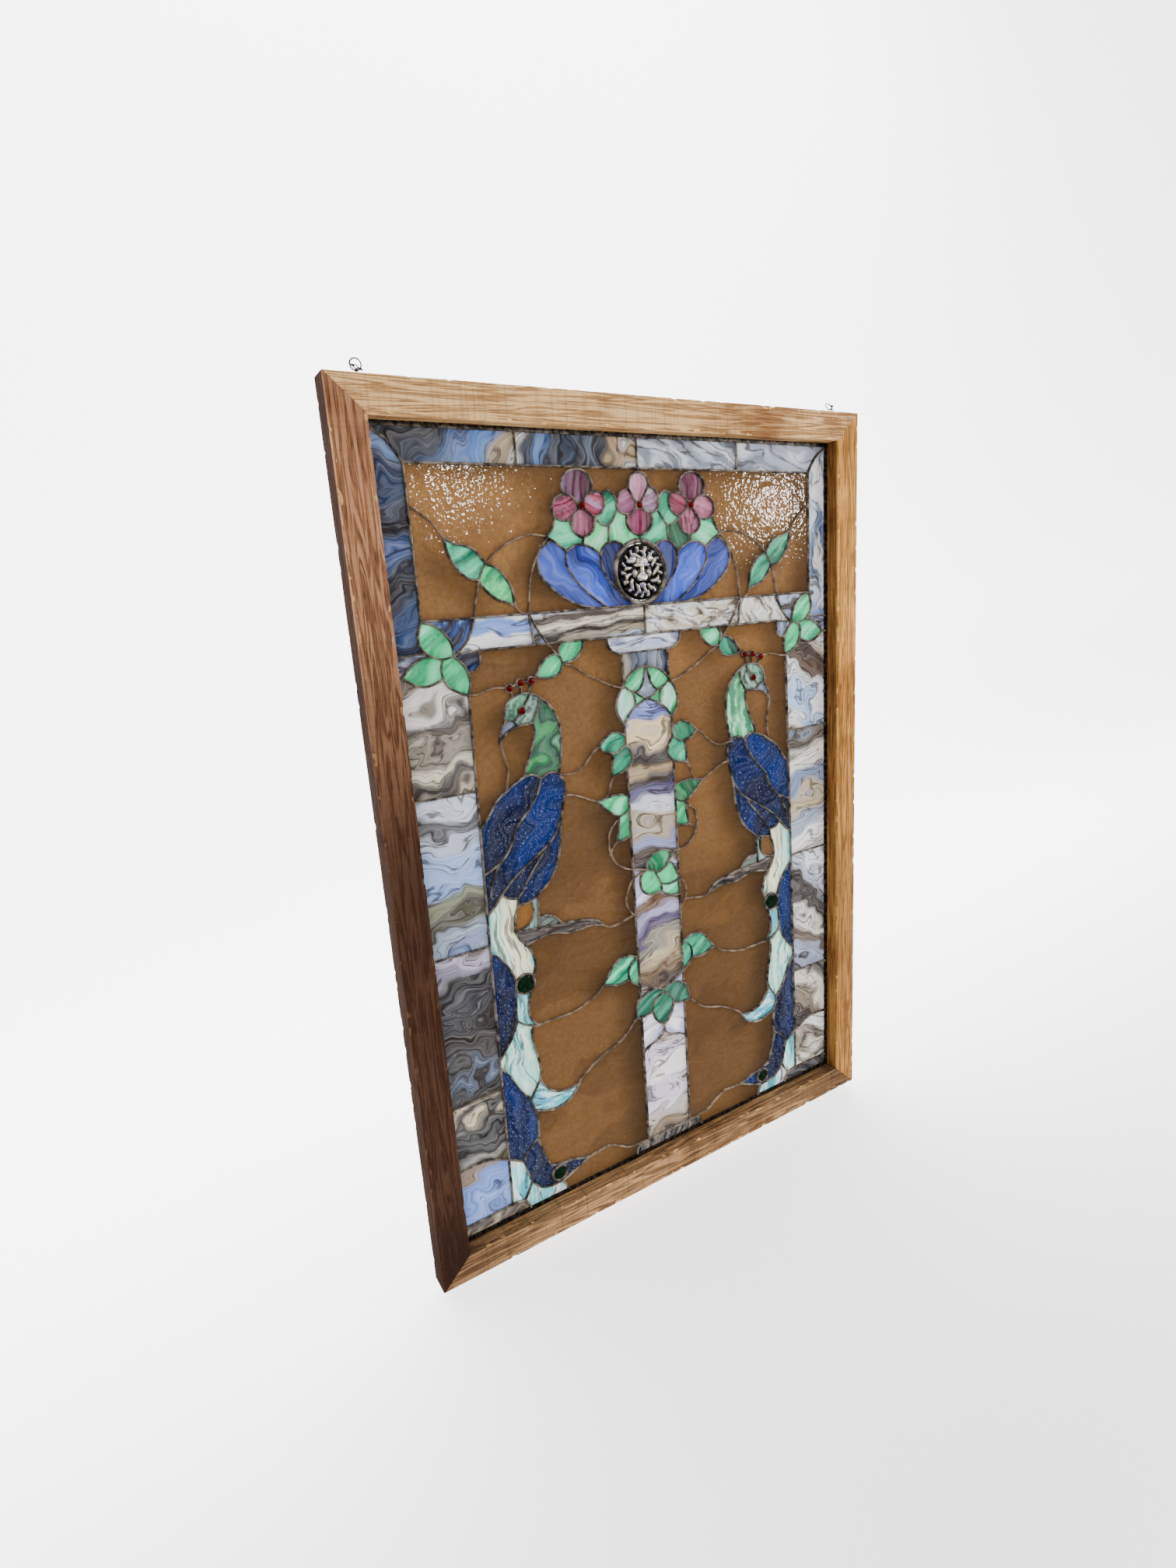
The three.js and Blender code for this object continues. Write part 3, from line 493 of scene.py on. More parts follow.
def mesh_from(name: str, points: Sequence[Vector], faces: Sequence[Sequence[int]],
              sharp: float = 40.0) -> Mesh:
    """Makes a smooth-shaded mesh whose edges stay sharp past an angle.

    Args:
        name: the mesh's name.
        points: vertices in metres.
        faces: vertex numbers of each face, anticlockwise seen from outside.
        sharp: the angle in degrees past which an edge stays sharp.

    Returns:
        The mesh.
    """
    mesh = bpy.data.meshes.new(name)
    mesh.from_pydata([tuple(p) for p in points], [], [tuple(f) for f in faces])
    mesh.validate()
    mesh.shade_smooth()
    mesh.set_sharp_from_angle(angle=math.radians(sharp))
    return mesh


def set_values(mesh: Mesh, name: str, kind: str, values: Sequence[float]) -> None:
    """Gives every vertex of a mesh a value of its own."""
    mesh.attributes.new(name, kind, "POINT").data.foreach_set("value", values)


def disc_faces(rings: int, spokes: int) -> Faces:
    """Faces of a round relief: a middle point, rings of points round it, and one ring for the back.

    Args:
        rings: rows of faces from the middle to the rim.
        spokes: points in a ring.

    Returns:
        The point numbers of each face.
    """
    faces: Faces = [(0, 1 + k, 1 + (k + 1) % spokes) for k in range(spokes)]
    for row in range(rings):
        inner, outer = 1 + row * spokes, 1 + (row + 1) * spokes
        for k in range(spokes):
            following = (k + 1) % spokes
            faces.append((inner + k, outer + k, outer + following, inner + following))
    last = 1 + rings * spokes
    faces.append(tuple(last + k for k in reversed(range(spokes))))
    return faces


@dataclass(frozen=True)
class Panel:
    """Where the panel lies in the shared frame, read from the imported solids.

    Attributes:
        middle_z: height of the panel's middle, in metres.
        front: place of the glass's front face along Y, in metres.
        glass: thickness of the glass in millimetres.
        proud: how far the solder stands out of the glass, in millimetres.
        half_w: half the width of the sheet of glass, under the channel's lip.
        half_h: half its height.
    """

    middle_z: float
    front: float
    glass: float
    proud: float
    half_w: float
    half_h: float

    @classmethod
    def from_frame(cls) -> "Panel":
        """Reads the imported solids.

        Returns:
            The panel's place and sizes.
        """
        low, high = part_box("frame_left_stile")
        glass_low, glass_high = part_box("amber_upper_left")
        solder_low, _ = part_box("solder_lines")
        side_low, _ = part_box("border_side_lower_left")
        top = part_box("border_top")[1].z
        middle = (low.z + high.z) / 2
        return cls(
            middle_z=middle,
            front=glass_low.y,
            glass=(glass_high.y - glass_low.y) / MM,
            proud=(glass_low.y - solder_low.y) / MM,
            half_w=-side_low.x / MM,
            half_h=(top - middle) / MM,
        )

    def place(self, x: float, z: float, depth: float) -> Vector:
        """A point of the drawing, at a depth behind the glass's front, in metres."""
        return Vector((x * MM, self.front + depth * MM, self.middle_z + z * MM))


# ---- node trees

class Graph:
    """Adds nodes to a material or a node group, and links them."""

    def __init__(self, tree: NodeTree) -> None:
        """Starts on a tree."""
        self.tree = tree

    def feed(self, node: Node, inputs: dict) -> None:
        """Links or sets some inputs of a node.

        Args:
            node: the node.
            inputs: output sockets or plain values, by the input's name or number.
        """
        for key, value in inputs.items():
            if isinstance(value, NodeSocket):
                self.tree.links.new(value, node.inputs[key])
            else:
                node.inputs[key].default_value = value

    def add(self, kind: str, inputs: dict | None = None, **settings: object) -> Node:
        """Adds one node.

        Args:
            kind: the node's type name.
            inputs: output sockets or plain values, by the input's name or number.
            settings: the node's own properties.

        Returns:
            The node.
        """
        node = self.tree.nodes.new(kind)
        for key, value in settings.items():
            setattr(node, key, value)
        self.feed(node, inputs or {})
        return node

    def math(self, operation: str, *values: object) -> NodeSocket:
        """Adds a Math node and returns its result."""
        return self.add("ShaderNodeMath", dict(enumerate(values)), operation=operation).outputs[0]

    def mix(self, factor: object, a: object, b: object, blend: str = "MIX") -> NodeSocket:
        """Mixes two colours.

        Args:
            factor: share of the second colour.
            a: the first colour.
            b: the second colour.
            blend: how they are mixed.

        Returns:
            The mixed colour.
        """
        first, second = ((*c, 1.0) if isinstance(c, tuple) else c for c in (a, b))
        node = self.add("ShaderNodeMix", {0: factor, 6: first, 7: second}, data_type="RGBA", blend_type=blend)
        return node.outputs[2]

    def noise(self, vector: object, scale: float, detail: float = 3.0, rough: float = 0.55,
              twist: float = 0.0) -> NodeSocket:
        """Adds a noise texture.

        Args:
            vector: where it is read.
            scale: the number of its blotches in a metre.
            detail: how many finer layers it has.
            rough: how strong they are.
            twist: how far it is distorted.

        Returns:
            Its value, from 0 to 1.
        """
        return self.add("ShaderNodeTexNoise", {
            "Vector": vector, "Scale": scale, "Detail": detail, "Roughness": rough, "Distortion": twist,
        }).outputs["Fac"]

    def stretch(self, vector: object, scale: tuple[float, ...]) -> NodeSocket:
        """Scales coordinates."""
        return self.add("ShaderNodeMapping", {"Vector": vector, "Scale": scale}).outputs[0]

    def steps(self, factor: object, stops: Sequence[tuple[float, Colour]]) -> NodeSocket:
        """Adds a colour ramp.

        Args:
            factor: the value that picks the colour.
            stops: places on the ramp, each with its colour.

        Returns:
            The colour.
        """
        node = self.add("ShaderNodeValToRGB", {0: factor})
        ramp = node.color_ramp
        while len(ramp.elements) < len(stops):
            ramp.elements.new(0.5)
        for element, (position, colour) in zip(ramp.elements, stops):
            element.position = position
            element.color = (*colour, 1.0)
        return node.outputs[0]

    def window(self, factor: object, low: float, high: float) -> NodeSocket:
        """Maps a value from low and high to 0 and 1, softly."""
        return self.add("ShaderNodeMapRange", {0: factor, 1: low, 2: high},
                        interpolation_type="SMOOTHSTEP").outputs[0]

    def attribute(self, name: str) -> NodeSocket:
        """Reads a plain value that the mesh carries."""
        return self.add("ShaderNodeAttribute", attribute_name=name).outputs["Fac"]

    def place(self) -> NodeSocket:
        """Reads the place on the piece, in metres."""
        return self.add("ShaderNodeTexCoord").outputs["Object"]

    def bump(self, height: object, depth: float) -> NodeSocket:
        """Turns a height from 0 to 1 into a bumpy normal, the bumps as deep as given in metres."""
        return self.add("ShaderNodeBump", {"Height": height, "Distance": depth}).outputs[0]


def group(name: str, inputs: dict[str, tuple[str, object]], outputs: dict[str, str],
          build: Callable[[Graph, Node], dict[str, NodeSocket]]) -> NodeTree:
    """Makes a shader node group once, or finds the one already made.

    Args:
        name: the group's name.
        inputs: socket names, each with its type and usual value.
        outputs: socket names and types.
        build: adds the nodes and returns the sockets that feed the outputs.

    Returns:
        The group.
    """
    if name in bpy.data.node_groups:
        return bpy.data.node_groups[name]
    tree = bpy.data.node_groups.new(name, "ShaderNodeTree")
    for key, (kind, usual) in inputs.items():
        socket = tree.interface.new_socket(key, in_out="INPUT", socket_type=kind)
        if usual is not None:
            socket.default_value = usual
    for key, kind in outputs.items():
        tree.interface.new_socket(key, in_out="OUTPUT", socket_type=kind)
    graph = Graph(tree)
    start = tree.nodes.new("NodeGroupInput")
    end = tree.nodes.new("NodeGroupOutput")
    for key, socket in build(graph, start).items():
        tree.links.new(socket, end.inputs[key])
    return tree


def ripple_group() -> NodeTree:
    """Makes the group for the hammered or rolled unevenness of a sheet, as a height.

    Returns:
        The group.
    """

    def build(graph: Graph, start: Node) -> dict[str, NodeSocket]:
        """Adds dimples and broad waves.

        Args:
            graph: the group's nodes.
            start: its inputs.

        Returns:
            The sockets that feed its outputs.
        """
        vector = start.outputs["Vector"]
        scaled = graph.add("ShaderNodeVectorMath", {0: vector, "Scale": start.outputs["Scale"]},
                           operation="SCALE").outputs[0]
        dimples = graph.add("ShaderNodeTexVoronoi", {"Vector": scaled, "Scale": 1.0},
                            feature="SMOOTH_F1").outputs["Distance"]
        waves = graph.noise(scaled, 0.35, 2.0)
        hammered = graph.math("MULTIPLY", dimples, start.outputs["Dimples"])
        return {"Height": graph.math("ADD", hammered, waves)}

    return group(
        "glass_ripple",
        {"Vector": ("NodeSocketVector", None), "Scale": ("NodeSocketFloat", 120.0),
         "Dimples": ("NodeSocketFloat", 0.6)},
        {"Height": "NodeSocketFloat"},
        build,
    )


def grime_group() -> NodeTree:
    """Makes the group for patches of dust and tarnish, as a mask from 0 to 1.

    Returns:
        The group.
    """

    def build(graph: Graph, start: Node) -> dict[str, NodeSocket]:
        """Adds a broad patchiness broken up by fine specks.

        Args:
            graph: the group's nodes.
            start: its inputs.

        Returns:
            The sockets that feed its outputs.
        """
        vector = start.outputs["Vector"]
        broad = graph.noise(vector, start.outputs["Scale"], 4.0, 0.6)
        fine = graph.noise(vector, 900.0, 2.0, 0.5)
        both = graph.math("MULTIPLY_ADD", fine, 0.35, broad)
        return {"Mask": graph.window(both, 0.55, 0.85)}

    return group(
        "grime",
        {"Vector": ("NodeSocketVector", None), "Scale": ("NodeSocketFloat", 25.0)},
        {"Mask": "NodeSocketFloat"},
        build,
    )


def start_material(name: str) -> tuple[Material, Graph, Node]:
    """Makes a material whose shader is linked to its output.

    Args:
        name: the material's name.

    Returns:
        The material, its nodes and its shader.
    """
    material = bpy.data.materials.new(name)
    material.use_nodes = True
    return material, Graph(material.node_tree), material.node_tree.nodes["Principled BSDF"]


# ---- finishes

class Texture(Enum):
    """How a sheet of glass was rolled."""

    WISPY = "wispy"
    HAMMERED = "hammered"
    SPARKLING = "sparkling"


@dataclass(frozen=True)
class GlassFinish:
    """The surface of one kind of sheet glass. Its colour is in the piece's own attribute.

    Attributes:
        name: the material's name.
        texture: how the sheet was rolled.
        roughness: of the surface.
        streaks: how strongly fine streaks change the colour, 0 to 1.
        ripple: the number of dimples in a metre.
        relief: height of the ripple in metres.
        veins: how strongly dark veins show, 0 to 1.
        shine: strength of the reflection.
    """

    name: str
    texture: Texture
    roughness: float = 0.16
    streaks: float = 0.35
    ripple: float = 90.0
    relief: float = 0.0004
    veins: float = 0.0
    shine: float = 0.08

    def material(self) -> Material:
        """Builds the material.

        Returns:
            The material.
        """
        material, graph, shader = start_material(self.name)
        flow = graph.add("ShaderNodeUVMap", uv_map="flow").outputs[0]
        place = graph.place()
        tint = graph.add("ShaderNodeAttribute", attribute_name="tint").outputs["Color"]
        fine = graph.noise(graph.stretch(flow, (9, 150, 1)), 1.0, 5.0, 0.6, 0.4)
        dark = graph.mix(1.0, tint, (0.46, 0.46, 0.5), "MULTIPLY")
        light = graph.mix(0.24, tint, (0.9, 0.9, 0.92))
        streaked = graph.mix(graph.window(fine, 0.32, 0.68), dark, light)
        colour = graph.mix(self.streaks, tint, streaked)
        if self.veins:
            bands = graph.noise(graph.stretch(flow, (6, 48, 1)), 1.0, 4.0, 0.5, 0.4)
            edge = graph.math("ABSOLUTE", graph.math("SUBTRACT", bands, 0.5))
            vein = graph.math("SUBTRACT", 1.0, graph.window(edge, 0.004, 0.03))
            colour = graph.mix(graph.math("MULTIPLY", vein, self.veins), colour, linear("3a302c"))
        if self.texture is Texture.SPARKLING:
            # Painted glints: paler specks in the colour stand in for the sparkle of the glass.
            painted_glint_specks = graph.noise(graph.stretch(place, (420, 420, 260)), 1.0, 3.0, 0.75)
            colour = graph.mix(graph.window(painted_glint_specks, 0.58, 0.72), colour, (0.24, 0.31, 0.56))
        if self.texture is Texture.HAMMERED:
            # Painted shade: the hammered dimples are darkened away from their middles in the colour, standing
            # in for their shading.
            painted_dent_shade = graph.add("ShaderNodeTexVoronoi", {"Vector": place, "Scale": 210.0},
                              feature="SMOOTH_F1").outputs["Distance"]
            colour = graph.mix(graph.math("MULTIPLY", painted_dent_shade, 0.5), colour, (0.06, 0.03, 0.012))
        dimples = 0.9 if self.texture is Texture.HAMMERED else 0.25
        ripple = graph.add("ShaderNodeGroup", node_tree=ripple_group())
        graph.feed(ripple, {"Vector": place, "Scale": self.ripple, "Dimples": dimples})
        graph.feed(shader, {
            "Base Color": colour, "Normal": graph.bump(ripple.outputs["Height"], self.relief),
            "Roughness": self.roughness, "IOR": 1.5, "Specular IOR Level": self.shine,
        })
        return material


AMBER = GlassFinish("amber_glass", Texture.HAMMERED, 0.06, 0.05, 190.0, 0.00034, shine=0.14)
OPAL = GlassFinish("opal_glass", Texture.WISPY, 0.2, 0.5, 60.0, 0.0004, veins=0.75)
GREEN = GlassFinish("green_opal_glass", Texture.WISPY, 0.18, 0.4, 90.0, 0.0005)
ROSE = GlassFinish("rose_opal_glass", Texture.WISPY, 0.18, 0.5, 80.0, 0.0004)
VIOLET = GlassFinish("violet_opal_glass", Texture.WISPY, 0.16, 0.35, 60.0, 0.0004)
COBALT = GlassFinish("cobalt_glass", Texture.SPARKLING, 0.2, 0.15, 260.0, 0.0004, shine=0.04)


@dataclass(frozen=True)
class SolderFinish:
    """Aged solder: pewter brown in the hollows, silvery where it is rubbed.

    Attributes:
        name: the material's name.
        dark: its colour in the hollows.
        bright: its colour on the rubbed places.
        warm_dark: the hollows beside amber, with the amber's warm light painted in.
        warm_bright: the rubbed places beside amber, with the amber's warm light painted in.
        dust: colour of the dust on it.
    """

    name: str = "aged_solder"
    dark: str = "332e2b"
    bright: str = "a0988f"
    warm_dark: str = "63564a"
    warm_bright: str = "ab9b8c"
    dust: str = "4a423a"

    def material(self) -> Material:
        """Builds the material.

        Returns:
            The material.
        """
        material, graph, shader = start_material(self.name)
        place = graph.place()
        warm = graph.attribute("warm")
        patches = graph.noise(place, 70.0, 4.0, 0.65)
        rubbed = graph.window(patches, 0.35, 0.7)
        metal = graph.mix(rubbed, linear(self.dark), linear(self.bright))
        # Painted light: seams on amber take warmer colours for the amber's warm light on them.
        colour = graph.mix(warm, metal, graph.mix(rubbed, linear(self.warm_dark), linear(self.warm_bright)))
        grime = graph.add("ShaderNodeGroup", {"Vector": place}, node_tree=grime_group()).outputs["Mask"]
        colour = graph.mix(graph.math("MULTIPLY", grime, 0.4), colour, linear(self.dust))
        rough = graph.add("ShaderNodeMapRange", {0: patches, 1: 0.3, 2: 0.7, 3: 0.5, 4: 0.26}).outputs[0]
        height = graph.math("ADD", graph.noise(place, 260.0, 4.0), graph.noise(place, 900.0, 2.0))
        graph.feed(shader, {
            "Base Color": colour, "Roughness": rough, "Normal": graph.bump(height, 0.0003), "Metallic": 0.45,
        })
        return material


@dataclass(frozen=True)
class MetalFinish:
    """A plain tarnished metal, such as the channel and the wire.

    Attributes:
        name: the material's name.
        dark: its colour in the hollows.
        bright: its colour on the rubbed places.
        roughness: of the surface.
    """

    name: str
    dark: str
    bright: str
    roughness: float

    def material(self) -> Material:
        """Builds the material.

        Returns:
            The material.
        """
        material, graph, shader = start_material(self.name)
        place = graph.place()
        patches = graph.noise(place, 120.0, 5.0, 0.65)
        colour = graph.mix(graph.window(patches, 0.4, 0.65), linear(self.dark), linear(self.bright))
        rough = graph.math("MULTIPLY_ADD", patches, -0.25, self.roughness + 0.15)
        graph.feed(shader, {
            "Base Color": colour, "Roughness": rough, "Metallic": 0.9,
            "Normal": graph.bump(graph.noise(place, 700.0, 3.0), 0.0002),
        })
        return material


@dataclass(frozen=True)
class JewelFinish:
    """Deep coloured glass of a nugget or jewel.

    Attributes:
        name: the material's name.
        colour: its colour where it is palest.
    """

    name: str
    colour: str

    def material(self) -> Material:
        """Builds the material.

        Returns:
            The material.
        """
        material, graph, shader = start_material(self.name)
        place = graph.place()
        cloud = graph.noise(place, 160.0, 3.0)
        deep = tuple(c * 0.45 for c in linear(self.colour))
        colour = graph.mix(graph.window(cloud, 0.35, 0.7), deep, linear(self.colour))
        graph.feed(shader, {"Base Color": colour, "Roughness": 0.05, "IOR": 1.52, "Specular IOR Level": 0.1})
        return material


class Grain(Enum):
    """Which way the grain of a board runs, as how closely its pattern lies along each axis."""

    LEVEL = (4.0, 95.0, 95.0)
    UPRIGHT = (95.0, 95.0, 4.0)


@dataclass(frozen=True)
class WoodFinish:
    """Rough old wood.

    Attributes:
        name: the material's name.
        grain: which way the grain runs.
        dark: colour of the dark growth lines.
        middle: colour of most of the board.
        pale: colour of the light grain and the fresh chips.
        saw: strength of the saw marks across the grain.
        seed: shifts the pattern.
        knot: colour of the knots.
        fresh: colour of newly broken wood.
        soot: colour of the darkening along the boards, and of the painted shade on the reveals and on the
            left stile's outer side.
    """

    name: str
    grain: Grain
    dark: str
    middle: str
    pale: str
    saw: float
    seed: float
    knot: str = "3b2618"
    fresh: str = "d9b98c"
    soot: str = "2b180d"

    def material(self) -> Material:
        """Builds the material.

        Returns:
            The material.
        """
        material, graph, shader = start_material(self.name)
        place = graph.place()
        shift = {"Vector": place, "Location": (self.seed, self.seed, 0)}
        shifted = graph.add("ShaderNodeMapping", shift).outputs[0]
        along = graph.stretch(shifted, self.grain.value)
        figure = graph.noise(along, 0.8, 3.0, 0.5, 1.2)
        bands = graph.math("SINE", graph.math("MULTIPLY", figure, 36.0))
        bands = graph.window(bands, -0.9, 0.9)
        fibre = graph.noise(graph.stretch(along, (10, 10, 10)), 1.0, 6.0, 0.7)
        broad = graph.noise(shifted, 6.0, 3.0, 0.6)
        mixed = graph.math("MULTIPLY_ADD", bands, 0.28, graph.math("MULTIPLY", fibre, 0.72))
        colour = graph.steps(mixed, (
            (0.29, linear(self.dark)), (0.48, linear(self.middle)), (0.76, linear(self.pale))))
        dim = graph.mix(1.0, colour, (0.62, 0.56, 0.52), "MULTIPLY")
        colour = graph.mix(graph.window(broad, 0.48, 0.7), colour, dim)
        level = self.grain is Grain.LEVEL
        across = (230, 4, 4) if level else (4, 4, 230)
        teeth = graph.noise(graph.stretch(shifted, across), 1.0, 3.0)
        cut = graph.math("MULTIPLY", graph.window(teeth, 0.5, 0.66), self.saw * 0.55)
        colour = graph.mix(cut, colour, linear(self.dark))
        places = graph.stretch(shifted, (6.5, 1.0, 9.0) if level else (9.0, 1.0, 5.5))
        reach = graph.add("ShaderNodeTexVoronoi", {"Vector": places, "Scale": 1.0}).outputs["Distance"]
        knot = graph.math("SUBTRACT", 1.0, graph.window(reach, 0.035, 0.085))
        colour = graph.mix(graph.math("MULTIPLY", knot, 0.75), colour, linear(self.knot))
        fresh = graph.mix(fibre, linear(self.pale), linear(self.fresh))
        colour = graph.mix(graph.window(graph.attribute("chip"), 0.15, 0.6), colour, fresh)
        # Darker towards some board ends. Painted shade on the reveals of the top rail and the right stile,
        # and on the left stile's outer side.
        colour = graph.mix(graph.attribute("soot"), colour, linear(self.soot))
        height = graph.math("MULTIPLY_ADD", teeth, self.saw, graph.math("ADD", fibre, bands))
        graph.feed(shader, {
            "Base Color": colour, "Normal": graph.bump(height, 0.0007), "Roughness": 0.78,
            "Specular IOR Level": 0.08,
        })
        return material


# ---- the glass

@dataclass(frozen=True)
class Cut:
    """How the sheet that one piece is cut from is coloured.

    Attributes:
        colours: the sheet's colours, in the order in which they lie side by side.
        turn: direction of the streaks in degrees from level.
        streak: width of a streak in millimetres.
        swirl: how far the streaks wander, in millimetres.
        ordered: whether the colours lie once across the piece, in their order.
        finish: surface of the glass, where it isn't its node's usual one.
    """

    colours: tuple[str, ...]
    turn: float = 90.0
    streak: float = 26.0
    swirl: float = 14.0
    ordered: bool = False
    finish: GlassFinish | None = None

    def flow(self, x: float, z: float, seed: float) -> Point:
        """Follows the streaks as they wander.

        Args:
            x: place on the panel, across.
            z: place on the panel, up.
            seed: tells one piece from another.

        Returns:
            The place along and across the streaks, in millimetres.
        """
        turn = math.radians(self.turn)
        bend = 1.4 * self.swirl * fractal(x / 95, z / 95, seed)
        drift = self.swirl * fractal((x + bend) / 75, (z - bend) / 42, seed + 9, 2)
        along = x * math.cos(turn) + z * math.sin(turn)
        across = z * math.cos(turn) - x * math.sin(turn)
        return along + 0.5 * bend, across + drift

    def tint(self, along: float, across: float, seed: float, span: Point) -> Colour:
        """Colour of the sheet at a point.

        Args:
            along: place along the streaks.
            across: place across them.
            seed: tells one piece from another.
            span: the piece's lowest and highest reach across its streaks.

        Returns:
            The colour in linear light.
        """
        if self.ordered:
            share = (across - span[0]) / max(span[1] - span[0], 1.0)
        else:
            share = 0.5 + 0.75 * fractal(across / self.streak, along / (self.streak * 5), seed + 4)
        place = min(max(share, 0.0), 0.9999) * (len(self.colours) - 1)
        index = int(place)
        blend = ease(place - index, 0.25, 0.75)
        low, high = (linear(code) for code in (self.colours[index], self.colours[index + 1]))
        return tuple(a + (b - a) * blend for a, b in zip(low, high))


PAIR = ("left", "right")
ONE = ("",)


@dataclass(frozen=True)
class Sheet:
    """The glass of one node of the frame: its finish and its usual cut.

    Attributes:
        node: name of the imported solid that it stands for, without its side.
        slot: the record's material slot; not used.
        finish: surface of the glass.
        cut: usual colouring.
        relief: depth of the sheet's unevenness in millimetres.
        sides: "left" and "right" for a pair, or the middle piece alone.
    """

    node: str
    slot: str
    finish: GlassFinish
    cut: Cut
    relief: float = 0.12
    sides: tuple[str, ...] = PAIR

    def names(self) -> list[str]:
        """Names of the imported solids."""
        return [f"{self.node}_{side}" if side else self.node for side in self.sides]


AMBER_CUT = Cut(("7c634a", "876c50", "96795a"), 8, 160, 30)
BORDER_CUT = Cut(("2c2a2c", "6b655e", "9aa3b6", "c3c8d6", "8b8374", "d2d0cf"), 6, 24, 22)
SHAFT_CUT = Cut(("473f3b", "8d8375", "c5c6d0", "b9bdd0", "6d6675"), 5, 34, 24)
MINT_CUT = Cut(("3f9f74", "63c294", "98dfb8"), 40, 16, 8)
TEAL_CUT = Cut(("277a60", "4aa384", "7cc9aa"), 30, 16, 8)
DEEP_CUT = Cut(("1f5f4c", "35755f", "5c9c84"), 30, 16, 8)
ROSE_CUT = Cut(("7d3348", "a35a6c", "c792a3"), 90, 14, 5)
SHEETS = (
    Sheet("amber_upper", "amber_glass", AMBER, AMBER_CUT, 0.22),
    Sheet("amber_flower_gap", "amber_glass", AMBER, AMBER_CUT, 0.22),
    Sheet("amber_lower", "amber_glass", AMBER, AMBER_CUT, 0.22),
    Sheet("border_side_upper", "streaky_glass", OPAL, BORDER_CUT),
    Sheet("border_side_lower", "streaky_glass", OPAL, BORDER_CUT),
    Sheet("border_top", "streaky_glass", OPAL, BORDER_CUT, sides=ONE),
    Sheet("cross_band", "streaky_glass", OPAL, BORDER_CUT, sides=ONE),
    Sheet("column_capital", "streaky_glass", OPAL, SHAFT_CUT, sides=ONE),
    Sheet("column_shaft", "streaky_glass", OPAL, SHAFT_CUT, sides=ONE),
    Sheet("column_foot", "streaky_glass", OPAL, SHAFT_CUT, sides=ONE),
    Sheet("column_wreath", "green_glass", GREEN, MINT_CUT, sides=ONE),
    Sheet("column_middle_leaves", "green_glass", GREEN, MINT_CUT, sides=ONE),
    Sheet("column_lower_leaves", "green_glass", GREEN, DEEP_CUT, sides=ONE),
    Sheet("bouquet_leaves", "green_glass", GREEN, TEAL_CUT, sides=ONE),
    Sheet("lotus", "violet_glass", VIOLET, Cut(("333b68", "5464a0", "7084bc"), 125, 30, 12)),
    Sheet("vine_leaves", "green_glass", GREEN, TEAL_CUT),
    Sheet("corner_leaves", "green_glass", GREEN, MINT_CUT),
    Sheet("crest_leaves", "green_glass", GREEN, MINT_CUT),
    Sheet("column_upper_leaves", "green_glass", GREEN, TEAL_CUT),
    Sheet("column_side_leaves", "green_glass", GREEN, MINT_CUT),
    Sheet("column_foot_leaves", "green_glass", GREEN, TEAL_CUT),
    Sheet("peacock_neck", "green_glass", GREEN, Cut(("24573c", "4b9a68", "9fd0ae"), 80, 26, 12)),
    Sheet("peacock_body", "cobalt_glass", COBALT,
          Cut(("0c1633", "13264f", "193266"), 60, 60, 20), 0.25),
    Sheet("peacock_leg_and_branch", "brown_glass", OPAL,
          Cut(("3b322d", "564b44", "8a8079"), 175, 9, 4)),
    Sheet("peacock_tail", "aqua_glass", OPAL,
          Cut(("6fb0b8", "a8d3d0", "dce6dc", "8fc6ca"), 92, 24, 8)),
    Sheet("flower", "rose_glass", ROSE, ROSE_CUT, sides=("left", "right", "middle")),
)

COBALT_CUT = Cut(("0b1126", "121f42", "1a2e5c"), 80, 50, 16, finish=COBALT)

LEFT = (-1,)
RIGHT = (1,)
BOTH = (-1, 1)

